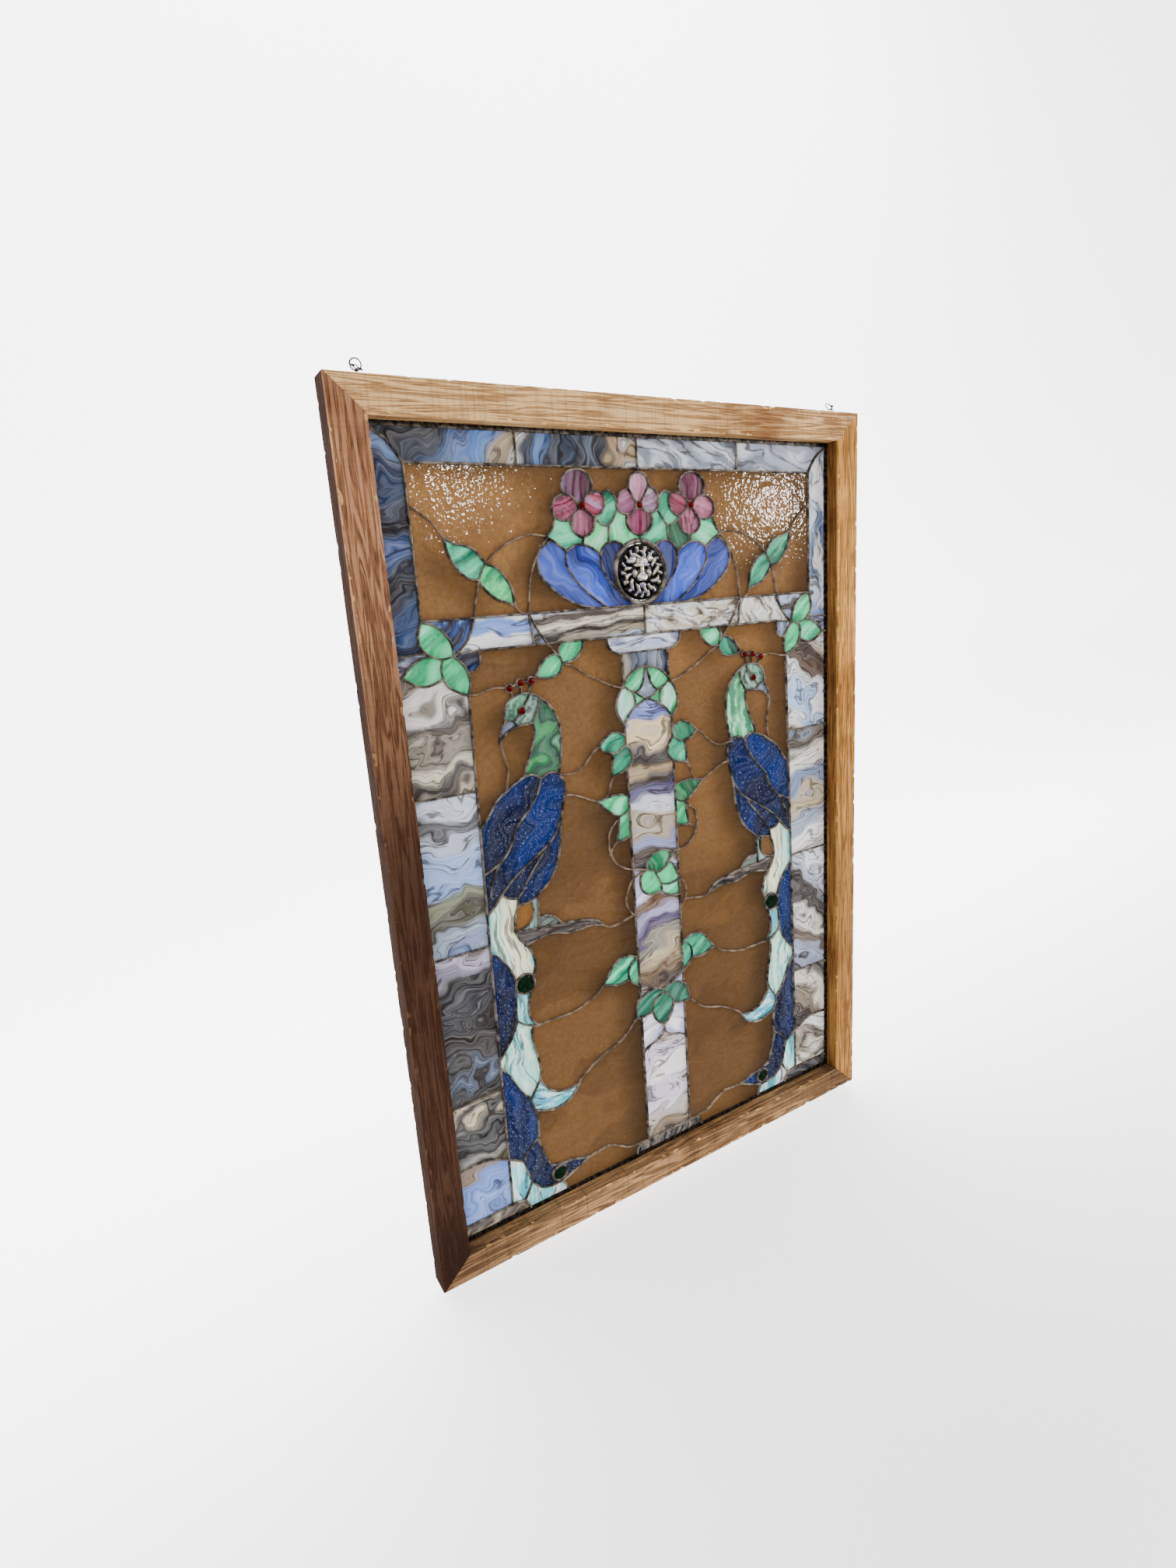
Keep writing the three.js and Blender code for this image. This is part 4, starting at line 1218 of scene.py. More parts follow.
# Pieces cut from another sheet than their neighbours: a point in the piece, as it lies in the
# right half, the sides on which it holds, and its cut.
SPECIAL: tuple[tuple[Point, tuple[int, ...], Cut], ...] = (
    ((289, 577), LEFT, Cut(("d6d6d6", "a79c88", "6f8cb8", "46608a", "161f34", "0d1320", "26364a", "b9bcc0"),
        65, 30, 22, True)),
    ((97, 575), LEFT, Cut(("c9c9c8", "a9997f", "141b2c", "6a737d", "4a5260", "2e3644", "6a83a8", "1b2238",
        "d3d3d1"), 70, 30, 20, True)),
    ((97, 575), RIGHT, Cut(("6f747c", "a3a8b0", "c9cdd3", "8b9098"), 20, 26, 16)),
    ((289, 577), RIGHT, Cut(("7c828e", "a9aeb8", "cfd3d8"), 15, 22, 14)),
    ((383, 445), LEFT, Cut(("1c2840", "475a7c", "12182a", "56688c", "0f1422", "2c3c5c", "8fa0bc", "c0c8d6"),
        18, 30, 24, True)),
    ((383, 445), RIGHT, Cut(("9fb0cc", "cfd6e2", "7d8aa0", "dde1e8"), 80, 26, 16)),
    ((244, 328), LEFT, Cut(("8fa4cc", "e3e4e6", "f0f0ee", "dcdfe6"), 10, 22, 10)),
    ((309, 335), LEFT, Cut(("15203c", "3b5588", "9fb4d8", "1b2a4c"), 50, 14, 12)),
    ((294, 295), LEFT, Cut(("15203c", "3b5588", "9fb4d8"), 50, 14, 12)),
    ((91, 330), LEFT, Cut(("c3cbe0", "a7a091", "3d342e", "d8d2c4", "5f554c", "e8e6e0"),
        4, 14, 9, True)),
    ((91, 330), RIGHT, Cut(("5a4a3c", "c9c2b4", "e6e4de", "8b7a66", "d5d6da"), 10, 16, 14)),
    ((244, 328), RIGHT, Cut(("6b5c4c", "d8d4cc", "ecebe8", "a39684"), 70, 16, 14)),
    ((356, 190), LEFT, Cut(("b3ab9f", "4c453f", "c9c4b4", "8b8478", "5b544c", "d2cfca", "8a8378", "5a5350"),
        12, 30, 30, True)),
    ((356, -6), LEFT, Cut(("7f8ba3", "9fa6b0", "5f5d50", "8b8d7c", "9fb0cc", "a8b6ce", "b8bcc4", "6f6f70",
        "c9cbd2", "b4b8c0"), 8, 30, 26, True)),
    ((358, -244), LEFT, Cut(("4b4138", "15110f", "5f6878", "1a1513", "3b342e", "0f0c0b", "2b2a30", "1b1716",
        "8f8b96", "b3adb8", "5c5048"), 12, 30, 34, True)),
    ((358, -420), LEFT, Cut(("4b4638", "57513f", "8b8a84", "1b1817", "2b2723", "14110f", "4b463f", "b9b09c",
        "a59a84"), 14, 30, 34, True)),
    ((361, -524), LEFT, Cut(("6b7fa8", "8ba0c6", "7d92bc", "8b7d70", "7387b0"), 20, 30, 26, True)),
    ((346, -587), LEFT, Cut(("8b7f6c", "4b4036", "b3aa98"), 20, 12, 10)),
    ((356, 190), RIGHT, Cut(("8b7a66", "d5d3cf", "b9c6da", "dfe4ea", "6b5848", "4b3a2c", "c9c2b6", "e3e3e2"),
        30, 30, 34, True)),
    ((356, -6), RIGHT, Cut(("c9c6c0", "e3e1dc", "9fa6b0", "b7ac98", "8793a8", "d9d6cf", "6f6a60", "aab4c6"),
        -14, 30, 20, True)),
    ((358, -244), RIGHT, Cut(("3d3630", "aab0c0", "6a5c50", "cfccc6", "4b4440", "b9bcc4", "d9dbe0",
        "8c8478"), 30, 30, 30, True)),
    ((358, -420), RIGHT, Cut(("2a2420", "7d7263", "c9c4bc", "4b4038", "9a9284"), 35, 30, 30, True)),
    ((361, -524), RIGHT, Cut(("3b3532", "8f887c", "c3bfb8", "d3d3d2"), 30, 26, 24)),
    ((346, -587), RIGHT, Cut(("12141c", "2a2a30", "4b4a4c"), 20, 12, 10)),
    ((0, 295), LEFT, Cut(("bfc4d6", "d9dbe3", "8d93a8"), 5, 14, 8)),
    ((0, 265), LEFT, Cut(("2b3150", "8f939c", "6b7480", "9a9488"), 80, 30, 12, True)),
    ((1, 67), LEFT, Cut(("2f2926", "5b4f45", "9a9db4", "a89e8e", "c9c9cf", "6f6a86", "4b4038", "a8997f",
        "3a302a", "d2c5ac", "8790bc", "a3aad0"), 6, 30, 18, True)),
    ((3, -199), LEFT, Cut(("8d775c", "4b3826", "7a664c", "b0a58e", "8f8a80", "57496a", "aaa5ba", "6f5a44",
        "cfcbdc", "b9b4cc", "6b5d52"), 10, 30, 22, True)),
    ((0, -481), LEFT, Cut(("5b4c3e", "8b7b68", "b9b3ae", "c9c3cc", "d8d3d2", "cbc5cf", "b5aaa6", "d3cfd4"),
        12, 30, 24, True)),
    ((28, -365), LEFT, Cut(("b9b6cc", "dcdbe3", "8b8496"), 30, 16, 10)),
    ((28, -365), RIGHT, Cut(("b9b6cc", "dcdbe3", "8b8496"), 30, 16, 10)),
    ((0, -588), LEFT, Cut(("15130f", "3a3430", "8b847c", "1b1816"), 85, 10, 6)),
    ((0, 225), LEFT, Cut(("8f98a0", "b9bfc9"), 20, 12, 6)),
    ((38, 204), LEFT, Cut(("a9dfc0", "c9efd6", "7fcfa0"), 70, 16, 8)),
    ((38, 204), RIGHT, Cut(("3f9a68", "7fcf9c", "b7e6c8"), 100, 16, 8)),
    ((244, 393), LEFT, Cut(("4fb07c", "7fd09a", "3f9a70"), 40, 16, 8)),
    ((232, -99), BOTH, Cut(("8fa5a0", "b3c6c2"), 90, 12, 6)),
    ((248, -93), BOTH, Cut(("77614a", "8c6c47"), 90, 40, 6, finish=AMBER)),
    ((208, -113), BOTH, Cut(("6f7872", "9aa29c"), 10, 12, 6)),
    ((246, 194), BOTH, Cut(("a7a9b6", "8a8fa0", "c4c4d0"), 60, 14, 6)),
    ((210, 214), BOTH, Cut(("5b6b62", "8fa59a", "4b5a52", "a9bcb2"), 60, 10, 8)),
    ((228, 226), BOTH, Cut(("4b6a5a", "8fb8a0", "5b7a6a", "a9c4b4"), 60, 10, 8)),
    ((187, 163), LEFT, Cut(("2a5a3c", "7fae8c", "1f4a34", "35704c", "24503c", "4f9060", "2f6a48"),
        78, 22, 26, True)),
    ((187, 163), RIGHT, Cut(("2a6044", "6fae86", "a3d3b4", "4b8a68"), 85, 22, 14)),
    ((275, -124), BOTH, Cut(("8fc0bd", "dcdcc4", "e3e0cc", "c4d8cc", "7fb8bc"), 95, 18, 8, True)),
    ((287, -227), BOTH, COBALT_CUT),
    ((283, -442), BOTH, COBALT_CUT),
    ((275, -325), BOTH, Cut(("a9cdc4", "c9dcd0", "86bcba", "bcd6c8"), 98, 20, 8)),
    ((230, -412), BOTH, Cut(("6fb4bc", "a9d0cf", "5ea4b4", "c4dcd6"), 160, 16, 8)),
    ((264, -232), BOTH, Cut(("7fb8bc", "a3cfcf"), 95, 20, 8)),
    ((249, -532), BOTH, COBALT_CUT),
    ((126, 494), LEFT, Cut(("7d3348", "a5607a", "6d2b40", "b88094"), 20, 10, 5)),
    ((104, 525), LEFT, Cut(("4b1730", "5e2642", "8a6a88"), 80, 12, 5)),
    ((76, 499), LEFT, Cut(("8d4058", "a5566a", "b596b0"), 160, 12, 5)),
    ((97, 472), LEFT, Cut(("581a30", "7a384c", "a06c7e"), 90, 8, 3)),
    ((-3, 524), LEFT, Cut(("a5768a", "c9aab4", "b58c9a"), 80, 12, 4)),
    ((21, 501), LEFT, Cut(("94607a", "b58aa0", "a5788f"), 20, 12, 4)),
    ((-24, 504), LEFT, Cut(("8f858f", "b5adb5", "9c8090"), 20, 12, 4)),
    ((-2, 474), LEFT, Cut(("4b1028", "6f2440", "94506c"), 85, 8, 3)),
    ((104, 525), RIGHT, Cut(("4f1a30", "6b3048", "86506a"), 80, 12, 5)),
    ((76, 499), RIGHT, Cut(("7a2a40", "8d3e52", "a5687a"), 20, 12, 5)),
    ((97, 472), RIGHT, Cut(("8a4256", "b07a90", "6a2238"), 90, 8, 3)),
    ((126, 494), RIGHT, Cut(("a0647a", "bb8c9c", "ad7688"), 20, 10, 4)),
    ((136, 398), BOTH, Cut(("3f4a88", "5462a0", "6876b4"), 140, 34, 14)),
    ((82, 395), BOTH, Cut(("2f3a75", "4a5a9f", "6a7cc4", "8d9ad0"), 125, 24, 12)),
    ((53, 418), BOTH, Cut(("1f2348", "2f3566", "4b5488"), 100, 16, 8)),
    ((129, 456), LEFT, Cut(("58a88a", "7cc9a8", "8fd0b4"), 20, 14, 6)),
    ((74, 452), LEFT, Cut(("8fd8a8", "b4ecc4", "7fcf9c"), 60, 14, 6)),
    ((31, 461), LEFT, Cut(("5fb88c", "8fd8ac", "a9e6bc"), 100, 14, 6)),
    ((74, 452), RIGHT, Cut(("0b3a24", "165a38", "226a46"), 60, 20, 6)),
    ((70, 46), RIGHT, Cut(("1f5a36", "2f6e48", "5c9a74"), 60, 16, 6)),
    ((169, 273), RIGHT, Cut(("1a5c4a", "2f7460", "4f9a80"), 60, 16, 6)),
    ((68, 145), RIGHT, Cut(("1f7050", "3c8e6c", "62b08e"), 60, 16, 6)),
    ((-6, -65), LEFT, Cut(("1f6a46", "35825e", "62aa86"), 100, 16, 6)),
    ((129, 456), RIGHT, Cut(("5fae8c", "86cfa8", "a5dfbe"), 20, 14, 6)),
)


@dataclass
class Cell:
    """One piece of glass between the lines.

    Attributes:
        triangles: rows of three point numbers.
        node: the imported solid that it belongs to.
        cut: its colouring.
        seed: its own number.
    """

    triangles: np.ndarray
    node: str = ""
    cut: Cut | None = None
    seed: float = 0.0


def twice_area(a: np.ndarray, b: np.ndarray, c: np.ndarray) -> np.ndarray:
    """Twice the area of each triangle, less than 0 where its corners run clockwise."""
    return (b[:, 0] - a[:, 0]) * (c[:, 1] - a[:, 1]) - (b[:, 1] - a[:, 1]) * (c[:, 0] - a[:, 0])


@dataclass
class GlassSheetCutter:
    """Cuts the panel's sheet of glass along the lines of the drawing.

    Attributes:
        panel: where the panel lies.
        lines: the drawing's lines, smoothed.
        holes: centre and radius of each round hole.
        grid: distance between the points that carry the sheet's unevenness.
        scatter: how far those points lie off the grid.
        lip: how far inside the sheet's edge a line's end still runs out to the edge.
        overrun: how far another line's end runs on, so that it surely crosses its neighbour.
        points: the triangles' corners.
        cells: the pieces of glass.
    """

    panel: Panel
    lines: list[list[Point]]
    holes: list[tuple[Point, float]]
    grid: float = 3.6
    scatter: float = 0.9
    lip: float = 16.0
    overrun: float = 6.0
    points: np.ndarray = field(default_factory=lambda: np.zeros((0, 2)))
    cells: list[Cell] = field(default_factory=list)

    def reach(self, path: list[Point]) -> list[Point]:
        """Makes a line's ends run on a little, or out under the channel's lip.

        Args:
            path: points along the line.

        Returns:
            The points, with the first and the last moved.
        """
        result = list(path)
        lip_x, lip_z = self.panel.half_w - self.lip, self.panel.half_h - self.lip
        if math.dist(path[0], path[-1]) < 0.1:
            return result
        for end, inner in ((0, 1), (-1, -2)):
            (x, z), (ix, iz) = path[end], path[inner]
            if abs(x) > lip_x or abs(z) > lip_z:
                x = math.copysign(self.panel.half_w, x) if abs(x) > lip_x else x
                z = math.copysign(self.panel.half_h, z) if abs(z) > lip_z else z
                result[end] = (x, z)
            else:
                length = math.dist(path[end], path[inner]) or 1.0
                result[end] = (x + (x - ix) / length * self.overrun, z + (z - iz) / length * self.overrun)
        return result

    def triangulate(self) -> tuple[np.ndarray, set[tuple[int, int]]]:
        """Fills the sheet with triangles that keep to the lines.

        Returns:
            The triangles, and the edges that lie on a line.
        """
        rng = random.Random(7)
        points: list[Point] = []
        edges: list[tuple[int, int]] = []
        w, h = self.panel.half_w, self.panel.half_h
        border = [(-w, -h), (w, -h), (w, h), (-w, h), (-w, -h)]
        for path in [border, *(self.reach(line) for line in self.lines)]:
            start = len(points)
            points.extend(path)
            edges.extend((start + i, start + i + 1) for i in range(len(path) - 1))
        x = -w + self.grid
        while x < w:
            z = -h + self.grid
            while z < h:
                off_x, off_z = (rng.uniform(-self.scatter, self.scatter) for _ in range(2))
                points.append((x + off_x, z + off_z))
                z += self.grid
            x += self.grid
        flat, cut_edges, faces, _, origins, _ = delaunay_2d_cdt(
            [Vector(p) for p in points], edges, [], 0, 1e-4)
        self.points = np.array([tuple(p) for p in flat])
        kept = {tuple(sorted(e)) for e, origin in zip(cut_edges, origins) if origin}
        triangles = np.array([f for f in faces if len(f) == 3])
        area = twice_area(*(self.points[triangles[:, i]] for i in range(3)))
        triangles[area < 0] = triangles[area < 0][:, ::-1]
        return triangles[np.abs(area) > 1e-7], kept

    def part(self) -> None:
        """Parts the triangles into pieces of glass."""
        triangles, kept = self.triangulate()
        neighbours: dict[tuple[int, int], list[int]] = {}
        for number, triangle in enumerate(triangles.tolist()):
            for i in range(3):
                edge = tuple(sorted((triangle[i], triangle[(i + 1) % 3])))
                if edge not in kept:
                    neighbours.setdefault(edge, []).append(number)
        links: list[list[int]] = [[] for _ in triangles]
        for pair in neighbours.values():
            if len(pair) == 2:
                links[pair[0]].append(pair[1])
                links[pair[1]].append(pair[0])
        owner = [-1] * len(triangles)
        for first in range(len(triangles)):
            if owner[first] >= 0:
                continue
            number = len(self.cells)
            owner[first] = number
            members, stack = [first], [first]
            while stack:
                for other in links[stack.pop()]:
                    if owner[other] < 0:
                        owner[other] = number
                        members.append(other)
                        stack.append(other)
            self.cells.append(Cell(triangles[members], seed=number * 3.7))

    def assign(self, nodes: Sequence[str]) -> None:
        """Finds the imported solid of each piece, and parts a piece that spans two solids.

        Args:
            nodes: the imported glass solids.
        """
        vertices: list[Vector] = []
        polygons: Faces = []
        owners: list[int] = []
        for number, name in enumerate(nodes):
            mesh = bpy.data.objects[name].data
            start = len(vertices)
            vertices.extend(v.co.copy() for v in mesh.vertices)
            polygons.extend(tuple(start + i for i in p.vertices) for p in mesh.polygons)
            owners.extend([number] * len(mesh.polygons))
        tree = BVHTree.FromPolygons(vertices, polygons)
        parted: list[Cell] = []
        for cell in self.cells:
            a, b, c = (self.points[cell.triangles[:, i]] for i in range(3))
            areas = np.abs(twice_area(a, b, c)) / 2
            middles = (a + b + c) / 3
            best = middles[int(areas.argmax())]
            if any(math.dist(best, centre) < radius - 0.5 for centre, radius in self.holes):
                continue
            found = []
            sure = np.zeros(len(middles), bool)
            for number, (x, z) in enumerate(middles.tolist()):
                hit = tree.ray_cast(self.panel.place(x, z, -60), Vector((0, 1, 0)), 0.3)
                sure[number] = hit[0] is not None
                if not sure[number]:
                    hit = tree.find_nearest(self.panel.place(x, z, 0))
                found.append(owners[hit[2]])
            held = np.bincount(found, weights=areas * (sure + 0.001), minlength=len(nodes))
            real = [n for n in np.flatnonzero(held > 200.0) if held[n] > 0.06 * held.sum()]
            real = real or [int(held.argmax())]
            most = max(real, key=lambda n: held[n])
            chosen = np.array([n if n in real else most for n in found])
            parted.extend(Cell(cell.triangles[chosen == n], nodes[n], seed=cell.seed + n * 1.3) for n in real)
        self.cells = parted

    def find(self, point: Point) -> Cell | None:
        """Finds the piece of glass that holds a point.

        Args:
            point: the point.

        Returns:
            The piece, or nothing where the point lies in a hole.
        """
        for cell in self.cells:
            corners = self.points[cell.triangles]
            spot = np.broadcast_to(point, corners[:, 0].shape)
            sides = [twice_area(corners[:, i], corners[:, (i + 1) % 3], spot) >= 0 for i in range(3)]
            if np.logical_and.reduce(sides).any():
                return cell
        return None


def circle(x: float, z: float, radius: float, step: float) -> list[Point]:
    """Points round a circle, the first again at the end."""
    count = max(12, round(2 * math.pi * radius / step))
    return [(x + radius * math.cos(2 * math.pi * i / count), z + radius * math.sin(2 * math.pi * i / count))
            for i in range(count + 1)]


@dataclass
class Shade:
    """Soft shade beside the opaque glass, where less light comes through the amber.

    Attributes:
        panel: where the panel lies.
        bin_size: size of a square of the map, in millimetres.
        spread: how far the shade is spread, in squares.
        shift: how far to the left it falls, in millimetres.
        strength: of the shade, 0 to 1.
        cover: the map, from 0 for amber to 1 for opaque glass.
    """

    panel: Panel
    bin_size: float = 7.0
    spread: int = 4
    shift: Point = (38.0, 6.0)
    strength: float = 0.62
    cover: np.ndarray = field(default_factory=lambda: np.zeros((0, 0)))

    def measure(self, cutter: GlassSheetCutter) -> None:
        """Maps how much of the panel is opaque.

        Args:
            cutter: the sheet, cut into pieces.
        """
        w, h = self.panel.half_w, self.panel.half_h
        bins = (int(2 * w / self.bin_size), int(2 * h / self.bin_size))
        everywhere = [cutter.points[cell.triangles].mean(axis=1) for cell in cutter.cells]
        spots = [middles for middles, cell in zip(everywhere, cutter.cells) if "amber" not in cell.node]
        reach = ((-w, w), (-h, h))
        opaque, total = (np.histogram2d(*np.concatenate(part).T, bins, reach)[0]
                         for part in (spots, everywhere))
        cover = opaque / np.maximum(total, 1)
        kernel = np.hanning(2 * self.spread + 3)[1:-1]
        kernel /= kernel.sum()
        for axis in (0, 1):
            cover = np.apply_along_axis(lambda row: np.convolve(row, kernel, "same"), axis, cover)
        self.cover = cover

    def at(self, x: float, z: float) -> float:
        """Finds the share of the light that comes through at a point.

        Args:
            x: place on the panel, across.
            z: place on the panel, up.

        Returns:
            The share, from 0 to about 1.
        """
        w, h = self.panel.half_w, self.panel.half_h
        i = (x + self.shift[0] + w) / self.bin_size - 0.5
        k = (z + self.shift[1] + h) / self.bin_size - 0.5
        i = min(max(i, 0.0), self.cover.shape[0] - 1.001)
        k = min(max(k, 0.0), self.cover.shape[1] - 1.001)
        a, b = int(i), int(k)
        u, v = i - a, k - b
        near = self.cover[a, b] * (1 - v) + self.cover[a, b + 1] * v
        far = self.cover[a + 1, b] * (1 - v) + self.cover[a + 1, b + 1] * v
        # Painted light and shade: the amber is darker towards the bottom and lighter at the top.
        height = 0.48 + 0.44 * ease(z, -220, 250) + 0.24 * ease(z, 300, 360)
        return height * (1 - self.strength * float(near * (1 - u) + far * u))


@dataclass
class GlassPieces:
    """The pieces of glass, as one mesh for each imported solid.

    Attributes:
        panel: where the panel lies.
        cutter: the sheet, cut into pieces.
        shade: soft shade on the amber.
    """

    panel: Panel
    cutter: GlassSheetCutter
    shade: Shade

    def prepare(self) -> None:
        """Cuts the sheet and gives each piece its colours."""
        self.cutter.part()
        self.cutter.assign([name for sheet in SHEETS for name in sheet.names()])
        self.shade.measure(self.cutter)
        cuts = {name: sheet.cut for sheet in SHEETS for name in sheet.names()}
        for cell in self.cutter.cells:
            cell.cut = cuts[cell.node]
        for (x, z), sides, cut in SPECIAL:
            for side in sides:
                cell = self.cutter.find((side * x, z))
                if cell is None:
                    raise ValueError(f"no piece of glass at {side * x}, {z}")
                cell.cut = replace(cut, turn=-side * cut.turn)

    def build(self, sheet: Sheet, name: str, materials: dict[str, Material]) -> Object:
        """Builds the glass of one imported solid.

        Args:
            sheet: its finish and usual cut.
            name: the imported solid.
            materials: the materials made so far, by name.

        Returns:
            The piece.
        """
        vertices: list[Vector] = []
        faces: Faces = []
        tints: list[Colour] = []
        flows: list[Point] = []
        kinds: list[int] = []
        finishes = [sheet.finish]
        for cell in self.cutter.cells:
            if cell.node != name:
                continue
            finish = cell.cut.finish or sheet.finish
            if finish not in finishes:
                finishes.append(finish)
            self.add_cell(cell, sheet, vertices, faces, tints, flows)
            kinds.extend([finishes.index(finish)] * (len(faces) - len(kinds)))
        mesh = mesh_from(f"{name}_glass", vertices, faces, 50)
        for finish in finishes:
            if finish.name not in materials:
                materials[finish.name] = finish.material()
            mesh.materials.append(materials[finish.name])
        mesh.polygons.foreach_set("material_index", kinds)
        colour = mesh.color_attributes.new("tint", "FLOAT_COLOR", "POINT")
        colour.data.foreach_set("color", [v for tint in tints for v in (*tint, 1.0)])
        layer = mesh.uv_layers.new(name="flow")
        corners = np.zeros(len(mesh.loops), np.int32)
        mesh.loops.foreach_get("vertex_index", corners)
        layer.data.foreach_set("uv", (np.array(flows)[corners] * MM).ravel().astype(np.float32))
        return new_object(f"{name}_glass", mesh)

    def add_cell(self, cell: Cell, sheet: Sheet, vertices: list[Vector], faces: Faces,
                 tints: list[Colour], flows: list[Point]) -> None:
        """Adds one piece of glass as a closed solid, its front uneven.

        Args:
            cell: the piece.
            sheet: the sheet that it belongs to.
            vertices: takes the vertices.
            faces: takes the faces.
            tints: takes the vertices' colours.
            flows: takes their places along and across the streaks.
        """
        used, local = np.unique(cell.triangles, return_inverse=True)
        local = local.reshape(-1, 3)
        start, count = len(vertices), len(used)
        spots = [(float(x), float(z)) for x, z in self.cutter.points[used]]
        flow = [cell.cut.flow(x, z, cell.seed) for x, z in spots]
        span = (min(v for _, v in flow), max(v for _, v in flow))
        for x, z in spots:
            wave = 0.6 * fractal(x / 9, z / 9, cell.seed) + 0.4 * fractal(x / 30, z / 30, cell.seed + 2)
            vertices.append(self.panel.place(x, z, -sheet.relief * wave))
        for x, z in spots:
            vertices.append(self.panel.place(x, z, self.panel.glass))
        colours = [cell.cut.tint(u, v, cell.seed, span) for u, v in flow]
        if sheet.finish is AMBER:
            shades = [self.shade.at(x, z) for x, z in spots]
            colours = [tuple(c * share for c in colour) for colour, share in zip(colours, shades)]
        tints.extend(colours * 2)
        flows.extend([(u + cell.seed * 31, v) for u, v in flow] * 2)
        directed: set[tuple[int, int]] = set()
        for a, b, c in local.tolist():
            faces.append((start + a, start + b, start + c))
            faces.append((start + count + a, start + count + c, start + count + b))
            directed.update(((a, b), (b, c), (c, a)))
        for a, b in directed:
            if (b, a) not in directed:
                faces.append((start + b, start + a, start + count + a, start + count + b))

    def make(self) -> list[Object]:
        """Builds and dresses every sheet.

        Returns:
            The pieces.
        """
        self.prepare()
        materials: dict[str, Material] = {}
        pieces = []
        for sheet in SHEETS:
            for name in sheet.names():
                piece = self.build(sheet, name, materials)
                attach(piece, "root")
                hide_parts(name)
                pieces.append(piece)
        return pieces


# ---- solder

def bead_tree() -> NodeTree:
    """Makes the nodes that run a bead of solder along every line, with a blob at each end.

    Returns:
        The nodes.
    """
    tree = bpy.data.node_groups.new("solder_bead", "GeometryNodeTree")
    face = tree.interface
    face.new_socket("Geometry", in_out="INPUT", socket_type="NodeSocketGeometry")
    for name, kind, usual in (
        ("Middle", "NodeSocketFloat", 0.0), ("Half Depth", "NodeSocketFloat", 0.0029),
        ("Lump Size", "NodeSocketFloat", 130.0), ("Lump Height", "NodeSocketFloat", 0.0004),
        ("Sides", "NodeSocketInt", 8), ("Finish", "NodeSocketMaterial", None),
    ):
        socket = face.new_socket(name, in_out="INPUT", socket_type=kind)
        if usual is not None:
            socket.default_value = usual
    face.new_socket("Geometry", in_out="OUTPUT", socket_type="NodeSocketGeometry")
    graph = Graph(tree)
    start = tree.nodes.new("NodeGroupInput")
    end = tree.nodes.new("NodeGroupOutput")

    def named(name: str, kind: str = "FLOAT") -> NodeSocket:
        """Reads an attribute of the lines."""
        node = graph.add("GeometryNodeInputNamedAttribute", {"Name": name}, data_type=kind)
        return node.outputs["Attribute"]

    blob_size = 1.16
    width = named("half_width")
    curve = graph.add("GeometryNodeMeshToCurve", {"Mesh": start.outputs["Geometry"]})
    sized = graph.add("GeometryNodeSetCurveRadius", {"Curve": curve.outputs[0], "Radius": width})
    round_bar = graph.add("GeometryNodeCurvePrimitiveCircle",
                          {"Resolution": start.outputs["Sides"], "Radius": 1.0})
    tube = graph.add("GeometryNodeCurveToMesh", {
        "Curve": sized.outputs[0], "Profile Curve": round_bar.outputs[0], "Fill Caps": True})
    if "Scale" in tube.inputs:
        graph.feed(tube, {"Scale": width})
    ends = graph.add("GeometryNodeMeshToPoints", {
        "Mesh": start.outputs["Geometry"], "Selection": named("end", "BOOLEAN")})
    blob = graph.add("GeometryNodeMeshIcoSphere", {"Radius": blob_size, "Subdivisions": 2})
    blobs = graph.add("GeometryNodeInstanceOnPoints", {
        "Points": ends.outputs[0], "Instance": blob.outputs[0], "Scale": width})
    real = graph.add("GeometryNodeRealizeInstances", {"Geometry": blobs.outputs[0]})
    both = graph.add("GeometryNodeJoinGeometry")
    tree.links.new(real.outputs[0], both.inputs[0])
    tree.links.new(tube.outputs[0], both.inputs[0])
    place = graph.add("GeometryNodeInputPosition").outputs[0]
    lumps = graph.add("ShaderNodeTexNoise", {
        "Vector": place, "Scale": start.outputs["Lump Size"], "Detail": 2.0}).outputs[0]
    swell = graph.math("MULTIPLY", graph.math("SUBTRACT", lumps, 0.5), start.outputs["Lump Height"])
    normal = graph.add("GeometryNodeInputNormal").outputs[0]
    push = graph.add("ShaderNodeVectorMath", {0: normal, "Scale": swell}, operation="SCALE").outputs[0]
    uneven = graph.add("GeometryNodeSetPosition", {"Geometry": both.outputs[0], "Offset": push})
    parts = graph.add("ShaderNodeSeparateXYZ", {0: place})
    depth = graph.math("DIVIDE", start.outputs["Half Depth"], width)
    off = graph.math("SUBTRACT", parts.outputs[1], start.outputs["Middle"])
    across = graph.math("ADD", graph.math("MULTIPLY", off, depth), start.outputs["Middle"])
    pressed = graph.add("ShaderNodeCombineXYZ", {0: parts.outputs[0], 1: across, 2: parts.outputs[2]})
    shaped = graph.add("GeometryNodeSetPosition", {
        "Geometry": uneven.outputs[0], "Position": pressed.outputs[0]})
    shade = graph.add("GeometryNodeSetShadeSmooth", {0: shaped.outputs[0]})
    done = graph.add("GeometryNodeRealizeInstances", {"Geometry": shade.outputs[0]})
    finish = graph.add("GeometryNodeSetMaterial", {
        "Geometry": done.outputs[0], "Material": start.outputs["Finish"]})
    tree.links.new(finish.outputs[0], end.inputs[0])
    return tree


